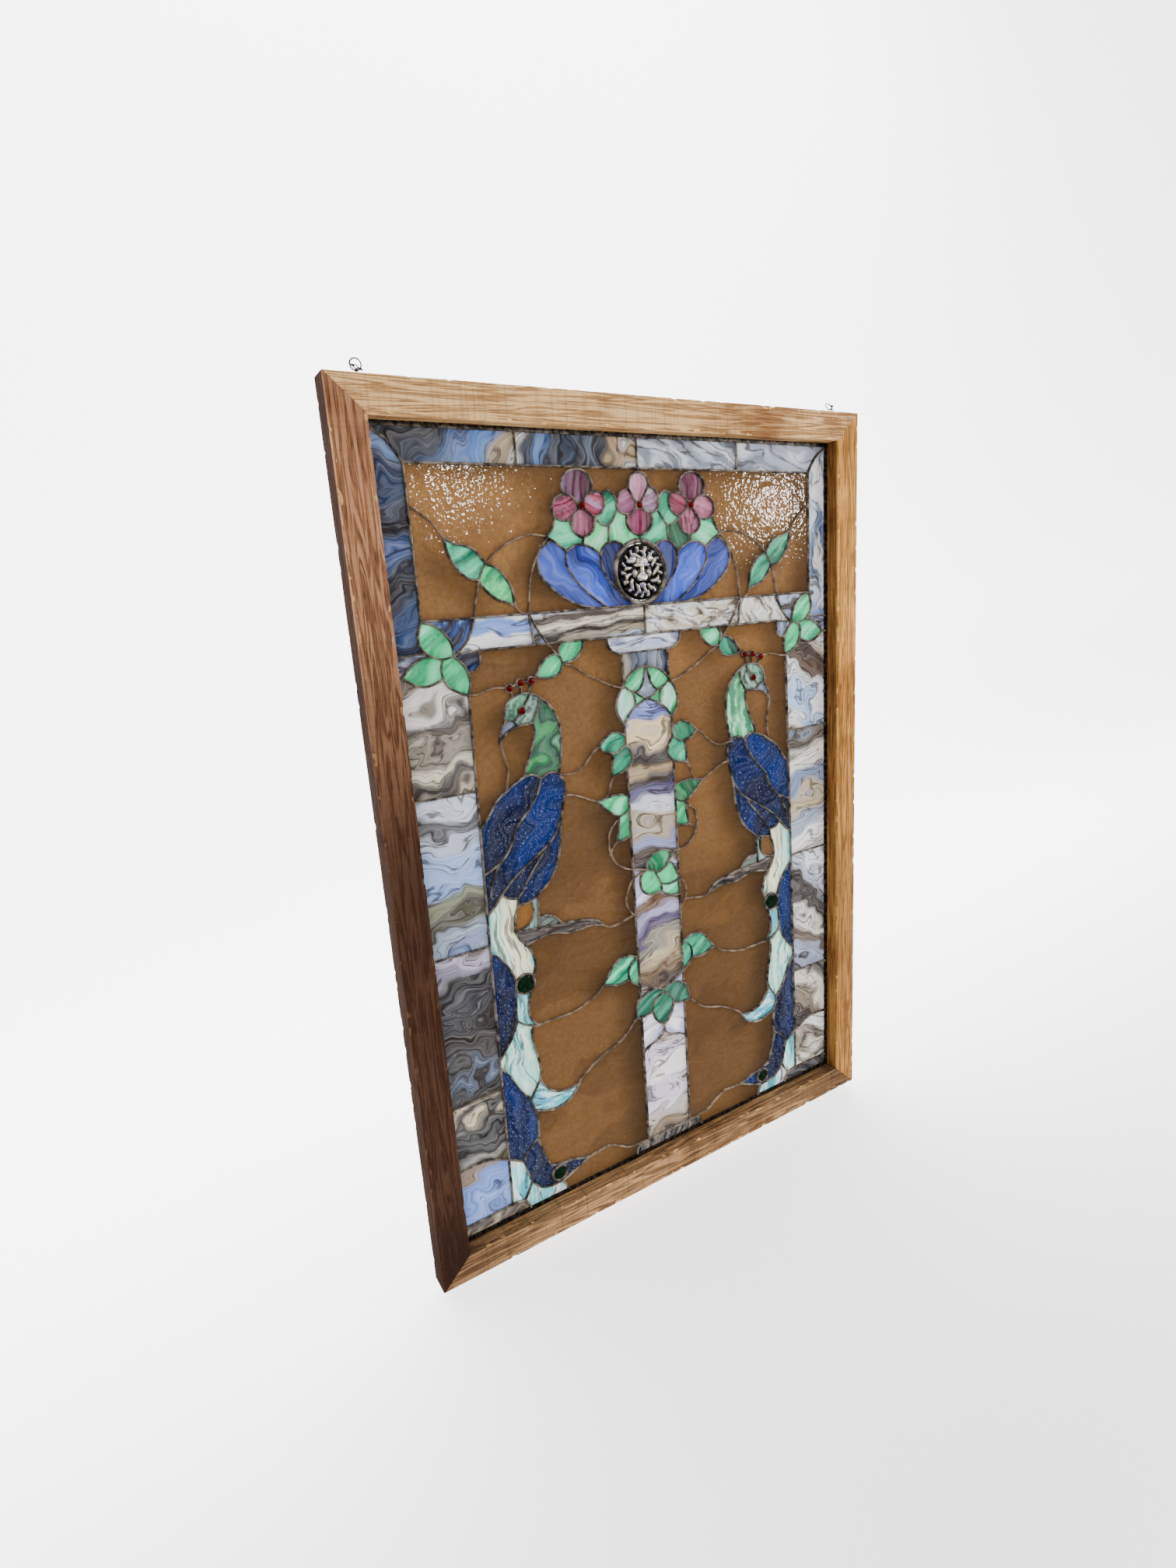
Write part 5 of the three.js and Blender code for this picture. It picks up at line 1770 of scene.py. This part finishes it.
def run_tree(piece: Object, tree: NodeTree, values: dict[str, object]) -> Mesh:
    """Runs geometry nodes on an object and returns the result as a plain mesh.

    Args:
        piece: the object; it is removed afterwards.
        tree: the nodes.
        values: the named inputs.

    Returns:
        The mesh.
    """
    modifier = piece.modifiers.new("nodes", "NODES")
    modifier.node_group = tree
    for item in tree.interface.items_tree:
        if item.item_type == "SOCKET" and item.in_out == "INPUT" and item.name in values:
            modifier[item.identifier] = values[item.name]
    graph = bpy.context.evaluated_depsgraph_get()
    mesh = bpy.data.meshes.new_from_object(piece.evaluated_get(graph))
    bpy.data.objects.remove(piece)
    return mesh


@dataclass(frozen=True)
class Bead:
    """One run of solder.

    Attributes:
        path: points along it, in millimetres.
        width: its width in millimetres.
        warm: how much it takes the warm light of the amber, 0 to 1.
    """

    path: list[Point]
    width: float
    warm: float = 0.0


@dataclass
class SolderNetwork:
    """All the solder, front and back, as one piece.

    Attributes:
        panel: where the panel lies.
        beads: the runs of solder.
        lump_size: number of lumps in a metre.
        lump_height: their height in metres.
        uneven: how much a bead's width changes along it, as a share.
        sides: faces round a bead.
        sunk: how far its lumps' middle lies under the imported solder's face, in millimetres.
    """

    panel: Panel
    beads: list[Bead]
    lump_size: float = 160.0
    lump_height: float = 0.0007
    uneven: float = 0.09
    sides: int = 8
    sunk: float = 0.25

    def make(self) -> list[Object]:
        """Builds and dresses the solder.

        Returns:
            The one piece.
        """
        points: list[Vector] = []
        edges: list[tuple[int, int]] = []
        widths: list[float] = []
        warmth: list[float] = []
        ends: list[bool] = []
        middle = self.panel.glass / 2
        rng = random.Random(3)
        for bead in self.beads:
            start, last = len(points), len(bead.path) - 1
            for i, (x, z) in enumerate(bead.path):
                points.append(self.panel.place(x, z, middle))
                widths.append(bead.width / 2 * MM * (1 + rng.uniform(-self.uneven, self.uneven)))
                ends.append(i in (0, last) and bead.path[0] != bead.path[-1])
                warmth.append(bead.warm)
            edges.extend((start + i, start + i + 1) for i in range(last))
        mesh = bpy.data.meshes.new("solder_paths")
        mesh.from_pydata([tuple(p) for p in points], edges, [])
        set_values(mesh, "half_width", "FLOAT", widths)
        set_values(mesh, "warm", "FLOAT", warmth)
        set_values(mesh, "end", "BOOLEAN", ends)
        solder = run_tree(new_object("solder_paths", mesh), bead_tree(), {
            "Middle": self.panel.front + middle * MM,
            "Half Depth": (middle + self.panel.proud - self.sunk) * MM,
            "Lump Size": self.lump_size,
            "Lump Height": self.lump_height,
            "Sides": self.sides,
            "Finish": SolderFinish().material(),
        })
        piece = new_object("soldered_seams", solder)
        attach(piece, "root")
        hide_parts("solder_lines")
        return [piece]


# ---- nuggets, jewels and the lion

def dome_mesh(name: str, centre: Vector, radius: float, rise: float, sink: float,
              rings: int, spokes: int, facets: float = 0.0) -> Mesh:
    """A dome of glass that faces -Y, with a short side and a flat back.

    Args:
        name: the mesh's name.
        centre: middle of the dome's rim.
        radius: of the rim, in metres.
        rise: how far the dome stands out, in metres.
        sink: how far its side goes back, in metres.
        rings: rows of faces from the top to the rim.
        spokes: faces round it.
        facets: unevenness as a share of the rise.

    Returns:
        The mesh.
    """
    points = [centre + Vector((0, -rise, 0))]
    levels = [(math.sin(a), math.cos(a)) for a in
              (math.pi / 2 * (i + 1) / rings for i in range(rings))]
    for share, height in [*levels, (1.0, -1.0)]:
        for k in range(spokes):
            turn = 2 * math.pi * k / spokes
            dent = 1 + facets * fractal(share * math.cos(turn) * 1.4, share * math.sin(turn) * 1.4, radius)
            out = -rise * height * dent if height >= 0 else sink
            points.append(centre + Vector((radius * share * math.cos(turn), out,
                                           radius * share * math.sin(turn))))
    return mesh_from(name, points, disc_faces(rings, spokes), 60)


@dataclass
class Nuggets:
    """Four dark nuggets in round settings.

    Attributes:
        dome: height of the domed part, in metres.
        rings: rows of faces from the top to the rim.
        spokes: faces round a nugget.
        facets: unevenness as a share of the dome's height.
    """

    dome: float = 0.0038
    rings: int = 12
    spokes: int = 48
    facets: float = 0.03

    def make(self) -> list[Object]:
        """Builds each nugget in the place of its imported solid.

        Returns:
            The nuggets.
        """
        finish = JewelFinish("dark_green_glass", "14281a").material()
        pieces = []
        for level in ("upper", "lower"):
            for side in PAIR:
                node = f"glass_nugget_{level}_{side}"
                low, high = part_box(node)
                radius = (high.x - low.x) / 2
                rim = low.y + self.dome
                centre = Vector(((low.x + high.x) / 2, rim, (low.z + high.z) / 2))
                mesh = dome_mesh(node, centre, radius, rim - low.y, high.y - rim, self.rings,
                                 self.spokes, self.facets)
                mesh.materials.append(finish)
                piece = new_object(f"nugget_{level}_{side}", mesh)
                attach(piece, "root")
                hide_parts(node)
                pieces.append(piece)
        return pieces


@dataclass
class Jewels:
    """Small ruby jewels: the crests, the eyes and the hearts of the flowers.

    Attributes:
        panel: where the panel lies.
        places: the jewels of the left half, repeated in the mirror.
        middle: the jewel of the middle flower.
        radius: of a jewel in millimetres.
        rise: how far a jewel's dome stands out, in metres.
        sink: how far its side goes back, in metres.
    """

    panel: Panel
    places: tuple[Point, ...] = ((-239, 250), (-220.5, 256), (-203, 257), (-222, 216), (-99, 497))
    middle: Point = (2, 497)
    radius: float = 5.0
    rise: float = 0.0032
    sink: float = 0.0015

    def all_places(self) -> tuple[Point, ...]:
        """Middles of all the jewels."""
        return (*self.places, *mirrored(self.places), self.middle)

    def make(self) -> list[Object]:
        """Builds the jewels as one piece.

        Returns:
            The one piece.
        """
        finish = JewelFinish("ruby_glass", "640e1e").material()
        points: list[Vector] = []
        faces: Faces = []
        for number, (x, z) in enumerate(self.all_places()):
            centre = self.panel.place(x, z, -self.panel.proud + 0.2)
            size = self.radius * (1 + 0.05 * math.sin(number * 2.3))
            mesh = dome_mesh("jewel", centre, size * MM, self.rise, self.sink, 6, 20, 0.05)
            start = len(points)
            points.extend(v.co.copy() for v in mesh.vertices)
            faces.extend(tuple(start + i for i in p.vertices) for p in mesh.polygons)
            bpy.data.meshes.remove(mesh)
        mesh = mesh_from("ruby_jewels", points, faces, 60)
        mesh.materials.append(finish)
        piece = new_object("ruby_jewels", mesh)
        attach(piece, "root")
        return [piece]


@dataclass
class LionMedallion:
    """A cast lion's head in relief, its mane in radiating locks.

    Attributes:
        rings: rows of the relief from the middle to the rim.
        spokes: points round it.
        deepest: depth of the relief in metres.
        locks: the mane's two rows of locks, each with its inner and outer edge, its number of
            locks, how they lean, and its lowest and highest height.
        mounds: the face's rounded parts, each with its middle, its half width and half height,
            and how high it stands.
    """

    rings: int = 84
    spokes: int = 216
    deepest: float = 0.0078
    locks: tuple[tuple[float, ...], ...] = (
        (0.42, 0.82, 13, 1.3, 0.08, 0.84), (0.62, 0.97, 17, -1.2, 0.04, 0.62),
    )
    mounds: tuple[tuple[float, ...], ...] = (
        (0, 0.04, 0.38, 0.44, 0.44), (0, 0.30, 0.26, 0.16, 0.66), (0, -0.16, 0.19, 0.14, 0.96),
        (0, 0.08, 0.07, 0.26, 0.94), (0, -0.06, 0.10, 0.06, 1.0), (0, -0.38, 0.13, 0.09, 0.80),
        (0.31, 0.38, 0.12, 0.11, 0.70), (-0.31, 0.38, 0.12, 0.11, 0.70),
        (0.26, -0.04, 0.10, 0.13, 0.66), (-0.26, -0.04, 0.10, 0.13, 0.66),
        (0.17, 0.20, 0.13, 0.05, 0.94), (-0.17, 0.20, 0.13, 0.05, 0.94),
    )

    def relief(self, x: float, z: float) -> float:
        """Finds how high the relief stands.

        Args:
            x: place across, as a share of the radius.
            z: place up, as a share of the radius.

        Returns:
            The height, from 0 to 1.
        """
        share, turn = math.hypot(x, z), math.atan2(z, x)
        mane = 0.0
        for inner, outer, count, lean, low, high in self.locks:
            band = ease(share, inner, inner + 0.1) * (1 - ease(share, outer - 0.08, outer))
            wave = turn * count / 2 + lean * math.sin(5 * share) + 0.5 * math.sin(3 * turn + 6 * share)
            mane = max(mane, band * (low + (high - low) * abs(math.cos(wave)) ** 1.5))
        share, x, z = share / 1.22, x / 1.22, z / 1.22
        face = 0.0
        for cx, cz, rx, rz, height in self.mounds:
            q = ((x - cx) / rx) ** 2 + ((z - cz) / rz) ** 2
            if q < 1:
                face = max(face, height * (0.5 + 0.5 * math.sqrt(1 - q)))
        for side in (-1, 1):
            eye = ((x - side * 0.15) / 0.085) ** 2 + ((z - 0.11) / 0.05) ** 2
            face -= 0.6 * max(0.0, 1 - eye)
            nostril = ((x - side * 0.055) / 0.03) ** 2 + ((z + 0.10) / 0.024) ** 2
            face -= 0.4 * max(0.0, 1 - nostril)
        mouth = max(0.0, 1 - abs(z + 0.27 + 0.14 * abs(x)) / 0.035) * (abs(x) < 0.2)
        return min(1.0, max(0.0, max(mane, face) - 0.6 * mouth))

    def make(self) -> list[Object]:
        """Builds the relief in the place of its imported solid.

        Returns:
            The one piece.
        """
        low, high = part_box("lion_medallion")
        radius = (high.x - low.x) / 2
        middle_x, middle_z = (low.x + high.x) / 2, (low.z + high.z) / 2
        field_y = low.y + self.deepest
        lifts = [self.relief(0, 0)]
        points = [Vector((middle_x, field_y - self.deepest * lifts[0], middle_z))]
        turns = [2 * math.pi * k / self.spokes for k in range(self.spokes)]
        for ring in range(1, self.rings + 1):
            share = ring / self.rings
            for turn in turns:
                x, z = share * math.cos(turn), share * math.sin(turn)
                height = self.relief(x, z) * (0.94 + 0.06 * fractal(x * 9, z * 9, 1.5))
                lifts.append(height)
                points.append(Vector((middle_x + radius * x, field_y - self.deepest * height,
                                      middle_z + radius * z)))
        for turn in turns:
            lifts.append(0.0)
            points.append(Vector((middle_x + radius * math.cos(turn), high.y,
                                  middle_z + radius * math.sin(turn))))
        mesh = mesh_from("cast_lion", points, disc_faces(self.rings, self.spokes), 60)
        set_values(mesh, "lift", "FLOAT", lifts)
        mesh.materials.append(self.finish())
        piece = new_object("cast_lion", mesh)
        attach(piece, "root")
        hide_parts("lion_medallion")
        return [piece]

    def finish(self) -> Material:
        """Makes dark metal with gold, green and violet glints on the high places.

        Returns:
            The material.
        """
        material, graph, shader = start_material("iridescent_pewter")
        place = graph.place()
        glints = graph.steps(graph.noise(place, 95.0, 3.0, 0.6), (
            (0.32, linear("9a92a8")), (0.45, linear("ccc8ce")), (0.56, linear("dccfb8")),
            (0.68, linear("9aa8b8"))))
        raised = graph.window(graph.attribute("lift"), 0.30, 0.80)
        graph.feed(shader, {
            "Base Color": graph.mix(raised, linear("0d0b0c"), glints), "Metallic": 0.75, "Roughness": 0.25,
            "Normal": graph.bump(graph.noise(place, 900.0, 3.0), 0.0002),
        })
        return material


# ---- the wooden frame

@dataclass(frozen=True)
class Board:
    """One board of the frame.

    Attributes:
        node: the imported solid.
        finish: its wood.
        upright: whether it stands at a side.
        outward: 1 where its outer edge is towards +X or +Z, -1 where it is the other way.
        chips: how badly its edges are chipped.
        seed: its own number.
    """

    node: str
    finish: WoodFinish
    upright: bool
    outward: int
    chips: float
    seed: float


BOARDS = (
    Board("frame_top_rail", WoodFinish(
        "pale_sawn_board", Grain.LEVEL, "8a6f55", "c4a584", "dcc3a4", 0.5, 1.7), False, 1, 1.0, 3.0),
    Board("frame_bottom_rail", WoodFinish(
        "grey_sawn_board", Grain.LEVEL, "544638", "94795d", "b39a80", 0.7, 5.3), False, -1, 1.3, 8.0),
    Board("frame_left_stile", WoodFinish(
        "red_brown_board", Grain.UPRIGHT, "5f4638", "a07e66", "b39580", 0.2, 9.1), True, -1, 0.8, 14.0),
    Board("frame_right_stile", WoodFinish(
        "golden_board", Grain.UPRIGHT, "7d6042", "bc9669", "d3b184", 0.2, 13.9), True, 1, 0.8, 21.0),
)


@dataclass
class WoodenFrame:
    """The mitred boards, with a groove for the channel.

    Attributes:
        step: distance between points along a board, in millimetres.
        arris: how far an edge is worn round, in millimetres.
        slack: play round the channel in its groove, and at each mitre, in millimetres.
        spacing: distance between points on each side of a board's section, in millimetres.
    """

    step: float = 4.0
    arris: float = 1.1
    slack: float = 0.3
    spacing: tuple[float, ...] = (2.6, 4.0, 8.0, 8.0, 8.0, 4.0, 7.0, 4.0)

    def section(self, width: float, depth: float, groove: tuple[float, float, float],
                ) -> list[tuple[float, float, float, float]]:
        """Points round a board's section.

        Args:
            width: from the outer edge to the inner one.
            depth: from the front to the back.
            groove: its front, its back and how deep it goes in.

        Returns:
            For each point, the distance from the outer edge, the depth, and the direction
            out of the wood, first across and then in depth.
        """
        front, back, deep = groove
        corners = [(0.0, 0.0), (width, 0.0), (width, front), (width - deep, front),
                   (width - deep, back), (width, back), (width, depth), (0.0, depth)]
        outline = []
        for i, (corner, gap) in enumerate(zip(corners, self.spacing)):
            following = corners[(i + 1) % len(corners)]
            length = math.dist(corner, following)
            ux, uy = (following[0] - corner[0]) / length, (following[1] - corner[1]) / length
            nx, ny = uy, -ux
            stops = [self.arris, *np.arange(self.arris + gap, length - self.arris - gap * 0.6, gap),
                     length - self.arris]
            if length < 3 * self.arris:
                stops = [length / 2]
            outline.extend((corner[0] + ux * s, corner[1] + uy * s, nx, ny) for s in stops)
        return outline

    def make(self) -> list[Object]:
        """Builds and dresses the boards.

        Returns:
            The boards.
        """
        low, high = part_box("frame_left_stile")
        top_low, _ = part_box("frame_top_rail")
        came_low, came_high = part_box("zinc_came")
        middle_z = (low.z + high.z) / 2
        outer = (-low.x / MM, (high.z - middle_z) / MM)
        inner = (-high.x / MM, (top_low.z - middle_z) / MM)
        came = (came_high.x / MM, (came_high.z - middle_z) / MM)
        depth = (high.y - low.y) / MM
        groove_y = ((came_low.y - low.y) / MM - self.slack, (came_high.y - low.y) / MM + self.slack)
        pieces = []
        for board in BOARDS:
            near, far = (0, 1) if board.upright else (1, 0)
            width = outer[near] - inner[near]
            outline = self.section(width, depth, (*groove_y, came[near] + self.slack - inner[near]))
            splay = (outer[far] - inner[far]) / width
            half = outer[far] - (0.0 if board.upright else self.slack)
            count = int(2 * half / self.step)
            points: list[Vector] = []
            chips: list[float] = []
            soot: list[float] = []
            for i in range(count + 1):
                for s, y, ns, ny in outline:
                    t = (half - splay * s) * (2 * i / count - 1)
                    cut, chip = self.wear(board, t, s, y, width, depth)
                    side = board.outward * (outer[near] - (s - ns * cut))
                    x, z = (side, t) if board.upright else (t, side)
                    points.append(Vector((x * MM, low.y + (y - ny * cut) * MM, middle_z + z * MM)))
                    chips.append(chip)
                    soot.append(self.soot(board, t, s, y, width))
            turned = board.outward * (1 if board.upright else -1) < 0
            mesh = mesh_from(f"{board.node}_board", points, self.faces(count, len(outline), turned), 38)
            set_values(mesh, "chip", "FLOAT", chips)
            set_values(mesh, "soot", "FLOAT", soot)
            mesh.materials.append(board.finish.material())
            piece = new_object(f"{board.node}_board", mesh)
            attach(piece, "root")
            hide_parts(board.node)
            pieces.append(piece)
        return pieces

    def faces(self, count: int, ring: int, turned: bool) -> Faces:
        """Joins the sections along a board, and closes its ends.

        Args:
            count: steps along the board.
            ring: points in a section.
            turned: whether the sections run the other way round, seen from the board's start.

        Returns:
            The point numbers of each face.
        """
        found: Faces = []
        for i in range(count):
            for k in range(ring):
                a, b = i * ring + k, i * ring + (k + 1) % ring
                found.append((a, b, b + ring, a + ring))
        found.append(tuple(reversed(range(ring))))
        found.append(tuple(range(count * ring, (count + 1) * ring)))
        if not turned:
            found = [face[::-1] for face in found]
        return found

    def wear(self, board: Board, t: float, s: float, y: float, width: float, depth: float,
             ) -> tuple[float, float]:
        """Finds how the wood is worn at a point.

        Args:
            board: the board.
            t: place along it, from its middle.
            s: distance from its outer edge.
            y: distance from its front.
            width: the board's width.
            depth: the board's depth.

        Returns:
            How far it is worn back in millimetres, and how freshly it is chipped, 0 to 1.
        """
        grain = 0.28 * max(0.0, 0.5 + 0.5 * fractal(t / 60, (s + y) / 1.7, board.seed, 2))
        edge = min(math.hypot(min(s, width - s), min(y, depth - y)), 12.0)
        loss = fractal(t / 13, (s + y * 0.6) / 9, board.seed + 5) - 0.42
        chip = max(0.0, loss) * board.chips * 5.0 * (1 - ease(edge, 1.5, 6.0))
        return grain + min(chip, 2.6), min(1.0, chip * 0.8)

    def soot(self, board: Board, t: float, s: float, y: float, width: float) -> float:
        """Finds how dark a board is at a point, with painted shade on its reveal and on the left stile's
        outer side.

        Args:
            board: the board.
            t: place along it, from its middle.
            s: distance from its outer edge.
            y: distance from its front.
            width: the board's width.

        Returns:
            The darkening with the painted shade, 0 to 1.
        """
        darkening = 0.0
        if board.upright and board.outward < 0:
            # Left stile: darker below its upper end, and painted shade on its outer side.
            lower_darkening = 0.9 * (1 - ease(t, 0, 520)) + 0.08 * ease(-t, 430, 600)
            darkening = max(lower_darkening, 0.95 * ease(y, 1.0, 4.0) * (s < 1.5))
        if board.upright and board.outward > 0:
            # Right stile: darker towards its lower end, and painted shade on its inner face beside the glass.
            darkening = max(0.5 * (1 - ease(t, -300, 320)), 0.65 * ease(y, 1.0, 4.0) * (s > width - 2))
        if not board.upright and board.outward < 0:
            # Bottom rail: darker towards both ends.
            darkening = 0.1 + 0.45 * ease(abs(t), 200, 420)
        if not board.upright and board.outward > 0 and s > width - 2:
            # Top rail: painted shade on its inner face, under the board.
            darkening = 0.45 * ease(y, 2.0, 10.0)
        return darkening


# ---- channel and hanging wire

@dataclass
class Hardware:
    """The channel round the glass, the screw eyes, the rings and their links.

    Attributes:
        zinc: finish of the channel.
        wire: finish of the wire parts.
    """

    zinc: MetalFinish = MetalFinish("dull_zinc", "2b2826", "6b655e", 0.4)
    wire: MetalFinish = MetalFinish("dark_wire", "0c0b0c", "4a4846", 0.35)

    def make(self) -> list[Object]:
        """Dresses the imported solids, which keep their shapes.

        Returns:
            The solids.
        """
        wire = self.wire.material()
        finishes = {"zinc_came": self.zinc.material()}
        finishes.update((f"{part}_{side}", wire) for side in PAIR for part in ("screw_eye", "ring_and_links"))
        for node, finish in finishes.items():
            bpy.data.objects[node].data.materials.clear()
            bpy.data.objects[node].data.materials.append(finish)
        return [bpy.data.objects[node] for node in finishes]


# ---- floor, light and camera

@dataclass(frozen=True)
class Lamp:
    """A soft rectangular lamp.

    Attributes:
        name: the lamp's name.
        place: where it stands.
        size: its width and height in metres.
        power: in watts.
        colour: of its light.
        aim: the point that it faces, where that isn't the middle of the window.
    """

    name: str
    place: Place
    size: tuple[float, float]
    power: float
    colour: Colour = (1, 1, 1)
    aim: Place | None = None


LAMPS = (
    Lamp("window_light_left", (-1.9, -2.6, 1.0), (0.7, 0.9), 34.0, (0.95, 0.97, 1.0)),
    Lamp("window_light_right", (2.9, -1.3, 0.1), (0.5, 0.6), 42.0, (0.97, 0.98, 1.0)),
    Lamp("glint_light_right", (2.25, -2.0, 0.12), (0.16, 0.2), 16.0),
    Lamp("glint_light_left", (0.57, -2.0, 0.21), (0.1, 0.1), 7.0),
    Lamp("backdrop_light", (0.0, 0.5, 2.6), (6.0, 1.0), 250.0, aim=(0.0, 1.9, -0.8)),
)


@dataclass
class Studio:
    """A pale floor and backdrop, soft lights and the camera, in metres.

    Attributes:
        middle: the middle of the object's box.
        floor: height of the floor.
        front: the floor's front edge along Y.
        wall: place of the backdrop along Y.
        wall_height: how high it rises over the floor.
        bend: radius of the curve from the floor to the backdrop.
        half_width: half the width of the floor.
        eye: place of the camera.
        forward: the way that the camera looks.
        up: the way that is up for it.
        lens: its focal length in millimetres, for a sensor 36 mm high.
    """

    middle: Vector
    floor: float
    front: float = -1.3
    wall: float = 1.9
    wall_height: float = 5.0
    bend: float = 0.9
    half_width: float = 9.0
    eye: Place = (-0.7196, -1.0124, -0.2823)
    forward: Place = (0.49363, 0.83947, -0.22719)
    up: Place = (0.17555, 0.15968, 0.97143)
    lens: float = 18.13

    def stage(self) -> None:
        """Adds a floor that turns up into a backdrop behind the window."""
        material, graph, shader = start_material("pale_backdrop")
        place = graph.place()
        colour = graph.mix(graph.noise(place, 3.0, 2.0), (0.90, 0.90, 0.90), (0.93, 0.93, 0.93))
        depth = graph.add("ShaderNodeSeparateXYZ", {0: place}).outputs[1]
        # Painted light: the backdrop glows, brightest at the back and dim on the floor in front of the
        # window, where it leaves a soft shade.
        glow = graph.math("MULTIPLY_ADD", graph.window(depth, -0.75, 0.75), 3.4, 0.02)
        graph.feed(shader, {
            "Base Color": colour, "Roughness": 0.9, "Emission Color": (1.0, 1.0, 1.0, 1.0),
            "Emission Strength": glow,
        })
        start, steps = self.wall - self.bend, 12
        profile = [(self.front, self.floor), (start, self.floor)]
        for i in range(1, steps + 1):
            turn = math.pi / 2 * i / steps
            profile.append((start + self.bend * math.sin(turn),
                            self.floor + self.bend * (1 - math.cos(turn))))
        profile.append((self.wall, self.floor + self.wall_height))
        points = [Vector((x, y, z)) for y, z in profile for x in (-self.half_width, self.half_width)]
        faces = [(2 * i, 2 * i + 1, 2 * i + 3, 2 * i + 2) for i in range(len(profile) - 1)]
        mesh = mesh_from("backdrop", points, faces, 60)
        mesh.materials.append(material)
        backdrop = new_object("backdrop", mesh)
        # The smooth glass would otherwise mirror the bright floor and look washed out.
        backdrop.visible_glossy = False
        backdrop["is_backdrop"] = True

    def lights(self) -> None:
        """Adds the lamps and a dim even sky."""
        for lamp in LAMPS:
            data = bpy.data.lights.new(lamp.name, "AREA")
            data.shape = "RECTANGLE"
            data.size, data.size_y = lamp.size
            data.energy = lamp.power
            data.color = lamp.colour
            light = new_object(lamp.name, data)
            light.location = lamp.place
            way = Vector(lamp.aim or self.middle) - Vector(lamp.place)
            light.rotation_euler = way.to_track_quat("-Z", "Y").to_euler()
        world = bpy.data.worlds.new("soft_sky")
        world.use_nodes = True
        graph = Graph(world.node_tree)
        way = graph.add("ShaderNodeTexCoord").outputs["Generated"]
        parts = graph.add("ShaderNodeSeparateXYZ", {0: way})
        slope = graph.math("MULTIPLY_ADD", parts.outputs[1], 0.6, parts.outputs[2])
        sky = graph.mix(graph.window(slope, -0.35, 0.35), (0.2, 0.205, 0.215), (1.3, 1.32, 1.36))
        graph.feed(world.node_tree.nodes["Background"], {"Color": sky})
        bpy.context.scene.world = world

    def camera(self) -> None:
        """Adds the camera, a little to the left of the window and above its middle."""
        data = bpy.data.cameras.new("camera")
        data.sensor_fit = "VERTICAL"
        data.sensor_height = 36.0
        data.lens = self.lens
        camera = new_object("camera", data)
        forward = Vector(self.forward).normalized()
        right = forward.cross(Vector(self.up)).normalized()
        up = right.cross(forward).normalized()
        turn = Matrix((right, up, -forward)).transposed()
        camera.matrix_world = Matrix.Translation(self.eye) @ turn.to_4x4()
        bpy.context.scene.camera = camera


# ---- main

@dataclass(frozen=True)
class Ring:
    """A ring of solder round a setting.

    Attributes:
        middle: its middle.
        radius: of the bead's middle line, in millimetres.
        width: of the bead, in millimetres.
        step: distance between its points, in millimetres.
    """

    middle: Point
    radius: float
    width: float
    step: float

    def bead(self) -> Bead:
        """The ring as a run of solder."""
        return Bead(circle(*self.middle, self.radius, self.step), self.width)


@dataclass(frozen=True)
class Settings:
    """Sizes of the drawing's settings and beads, in millimetres.

    Attributes:
        medallion: middle of the lion medallion.
        medallion_r: its radius.
        collar: width of the solder round it.
        nuggets: the nuggets of the left half, each with its middle, its radius and the width
            of the solder round it.
        jewel_r: radius of the solder round a jewel.
        jewel_w: its width.
        seam_w: width of a seam.
        vein_w: width of a thinner seam.
        step: distance between the points of a line.
    """

    medallion: Point = (0, 400)
    medallion_r: float = 42.0
    collar: float = 8.5
    nuggets: tuple[tuple[Point, float, float], ...] = (((-256, -203), 14.0, 4.0), ((-226, -554.5), 10.8, 4.6))
    jewel_r: float = 5.4
    jewel_w: float = 3.2
    seam_w: float = 4.2
    vein_w: float = 3.3
    step: float = 3.5

    def collars(self) -> list[Ring]:
        """Lists the rings that stand in round holes of the sheet.

        Returns:
            The medallion's ring and the nuggets' rings.
        """
        rings = [Ring(self.medallion, self.medallion_r + self.collar / 2, self.collar, 3.0)]
        for middle, radius, width in self.nuggets:
            for place in (middle, *mirrored([middle])):
                rings.append(Ring(place, radius + width / 2, width, 2.5))
        return rings

    def drawing(self) -> list[Bead]:
        """Lays a bead of solder on every line of the drawing.

        Returns:
            The beads.
        """
        beads: list[Bead] = []
        for table, width, paired in (
            (PAIRED_SEAMS, self.seam_w, True), (MIDDLE_SEAMS, self.seam_w, False),
            (PAIRED_VEINS, self.vein_w, True), (MIDDLE_VEINS, self.vein_w, False),
        ):
            for group_name, lines in table.items():
                warm = 1.0 if group_name in VINES else 0.0
                for line in lines:
                    for shape in ((mirrored(line), line) if paired else (line,)):
                        beads.append(Bead(smooth(shape, self.step), width, warm))
        return beads


def main() -> None:
    """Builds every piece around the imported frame, and reports each."""
    logging.basicConfig(level=logging.INFO, format="%(message)s")
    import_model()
    cad_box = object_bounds()
    studio = Studio((cad_box[0] + cad_box[1]) / 2, cad_box[0].z - 0.02)
    studio.camera()
    studio.lights()
    studio.stage()
    panel = Panel.from_frame()
    settings = Settings()
    jewels = Jewels(panel)
    collars = settings.collars()
    jewel_rings = [Ring(place, settings.jewel_r, settings.jewel_w, 1.8) for place in jewels.all_places()]
    beads = settings.drawing() + [ring.bead() for ring in collars + jewel_rings]
    cutter = GlassSheetCutter(
        panel, [bead.path for bead in beads], [(ring.middle, ring.radius) for ring in collars])
    for maker in (GlassPieces(panel, cutter, Shade(panel)), SolderNetwork(panel, beads), Nuggets(), jewels,
                  LionMedallion(), WoodenFrame(), Hardware()):
        for piece in maker.make():
            LOG.info("%s: %d faces", piece.name, len(piece.data.polygons))


if __name__ == "__main__":
    main()
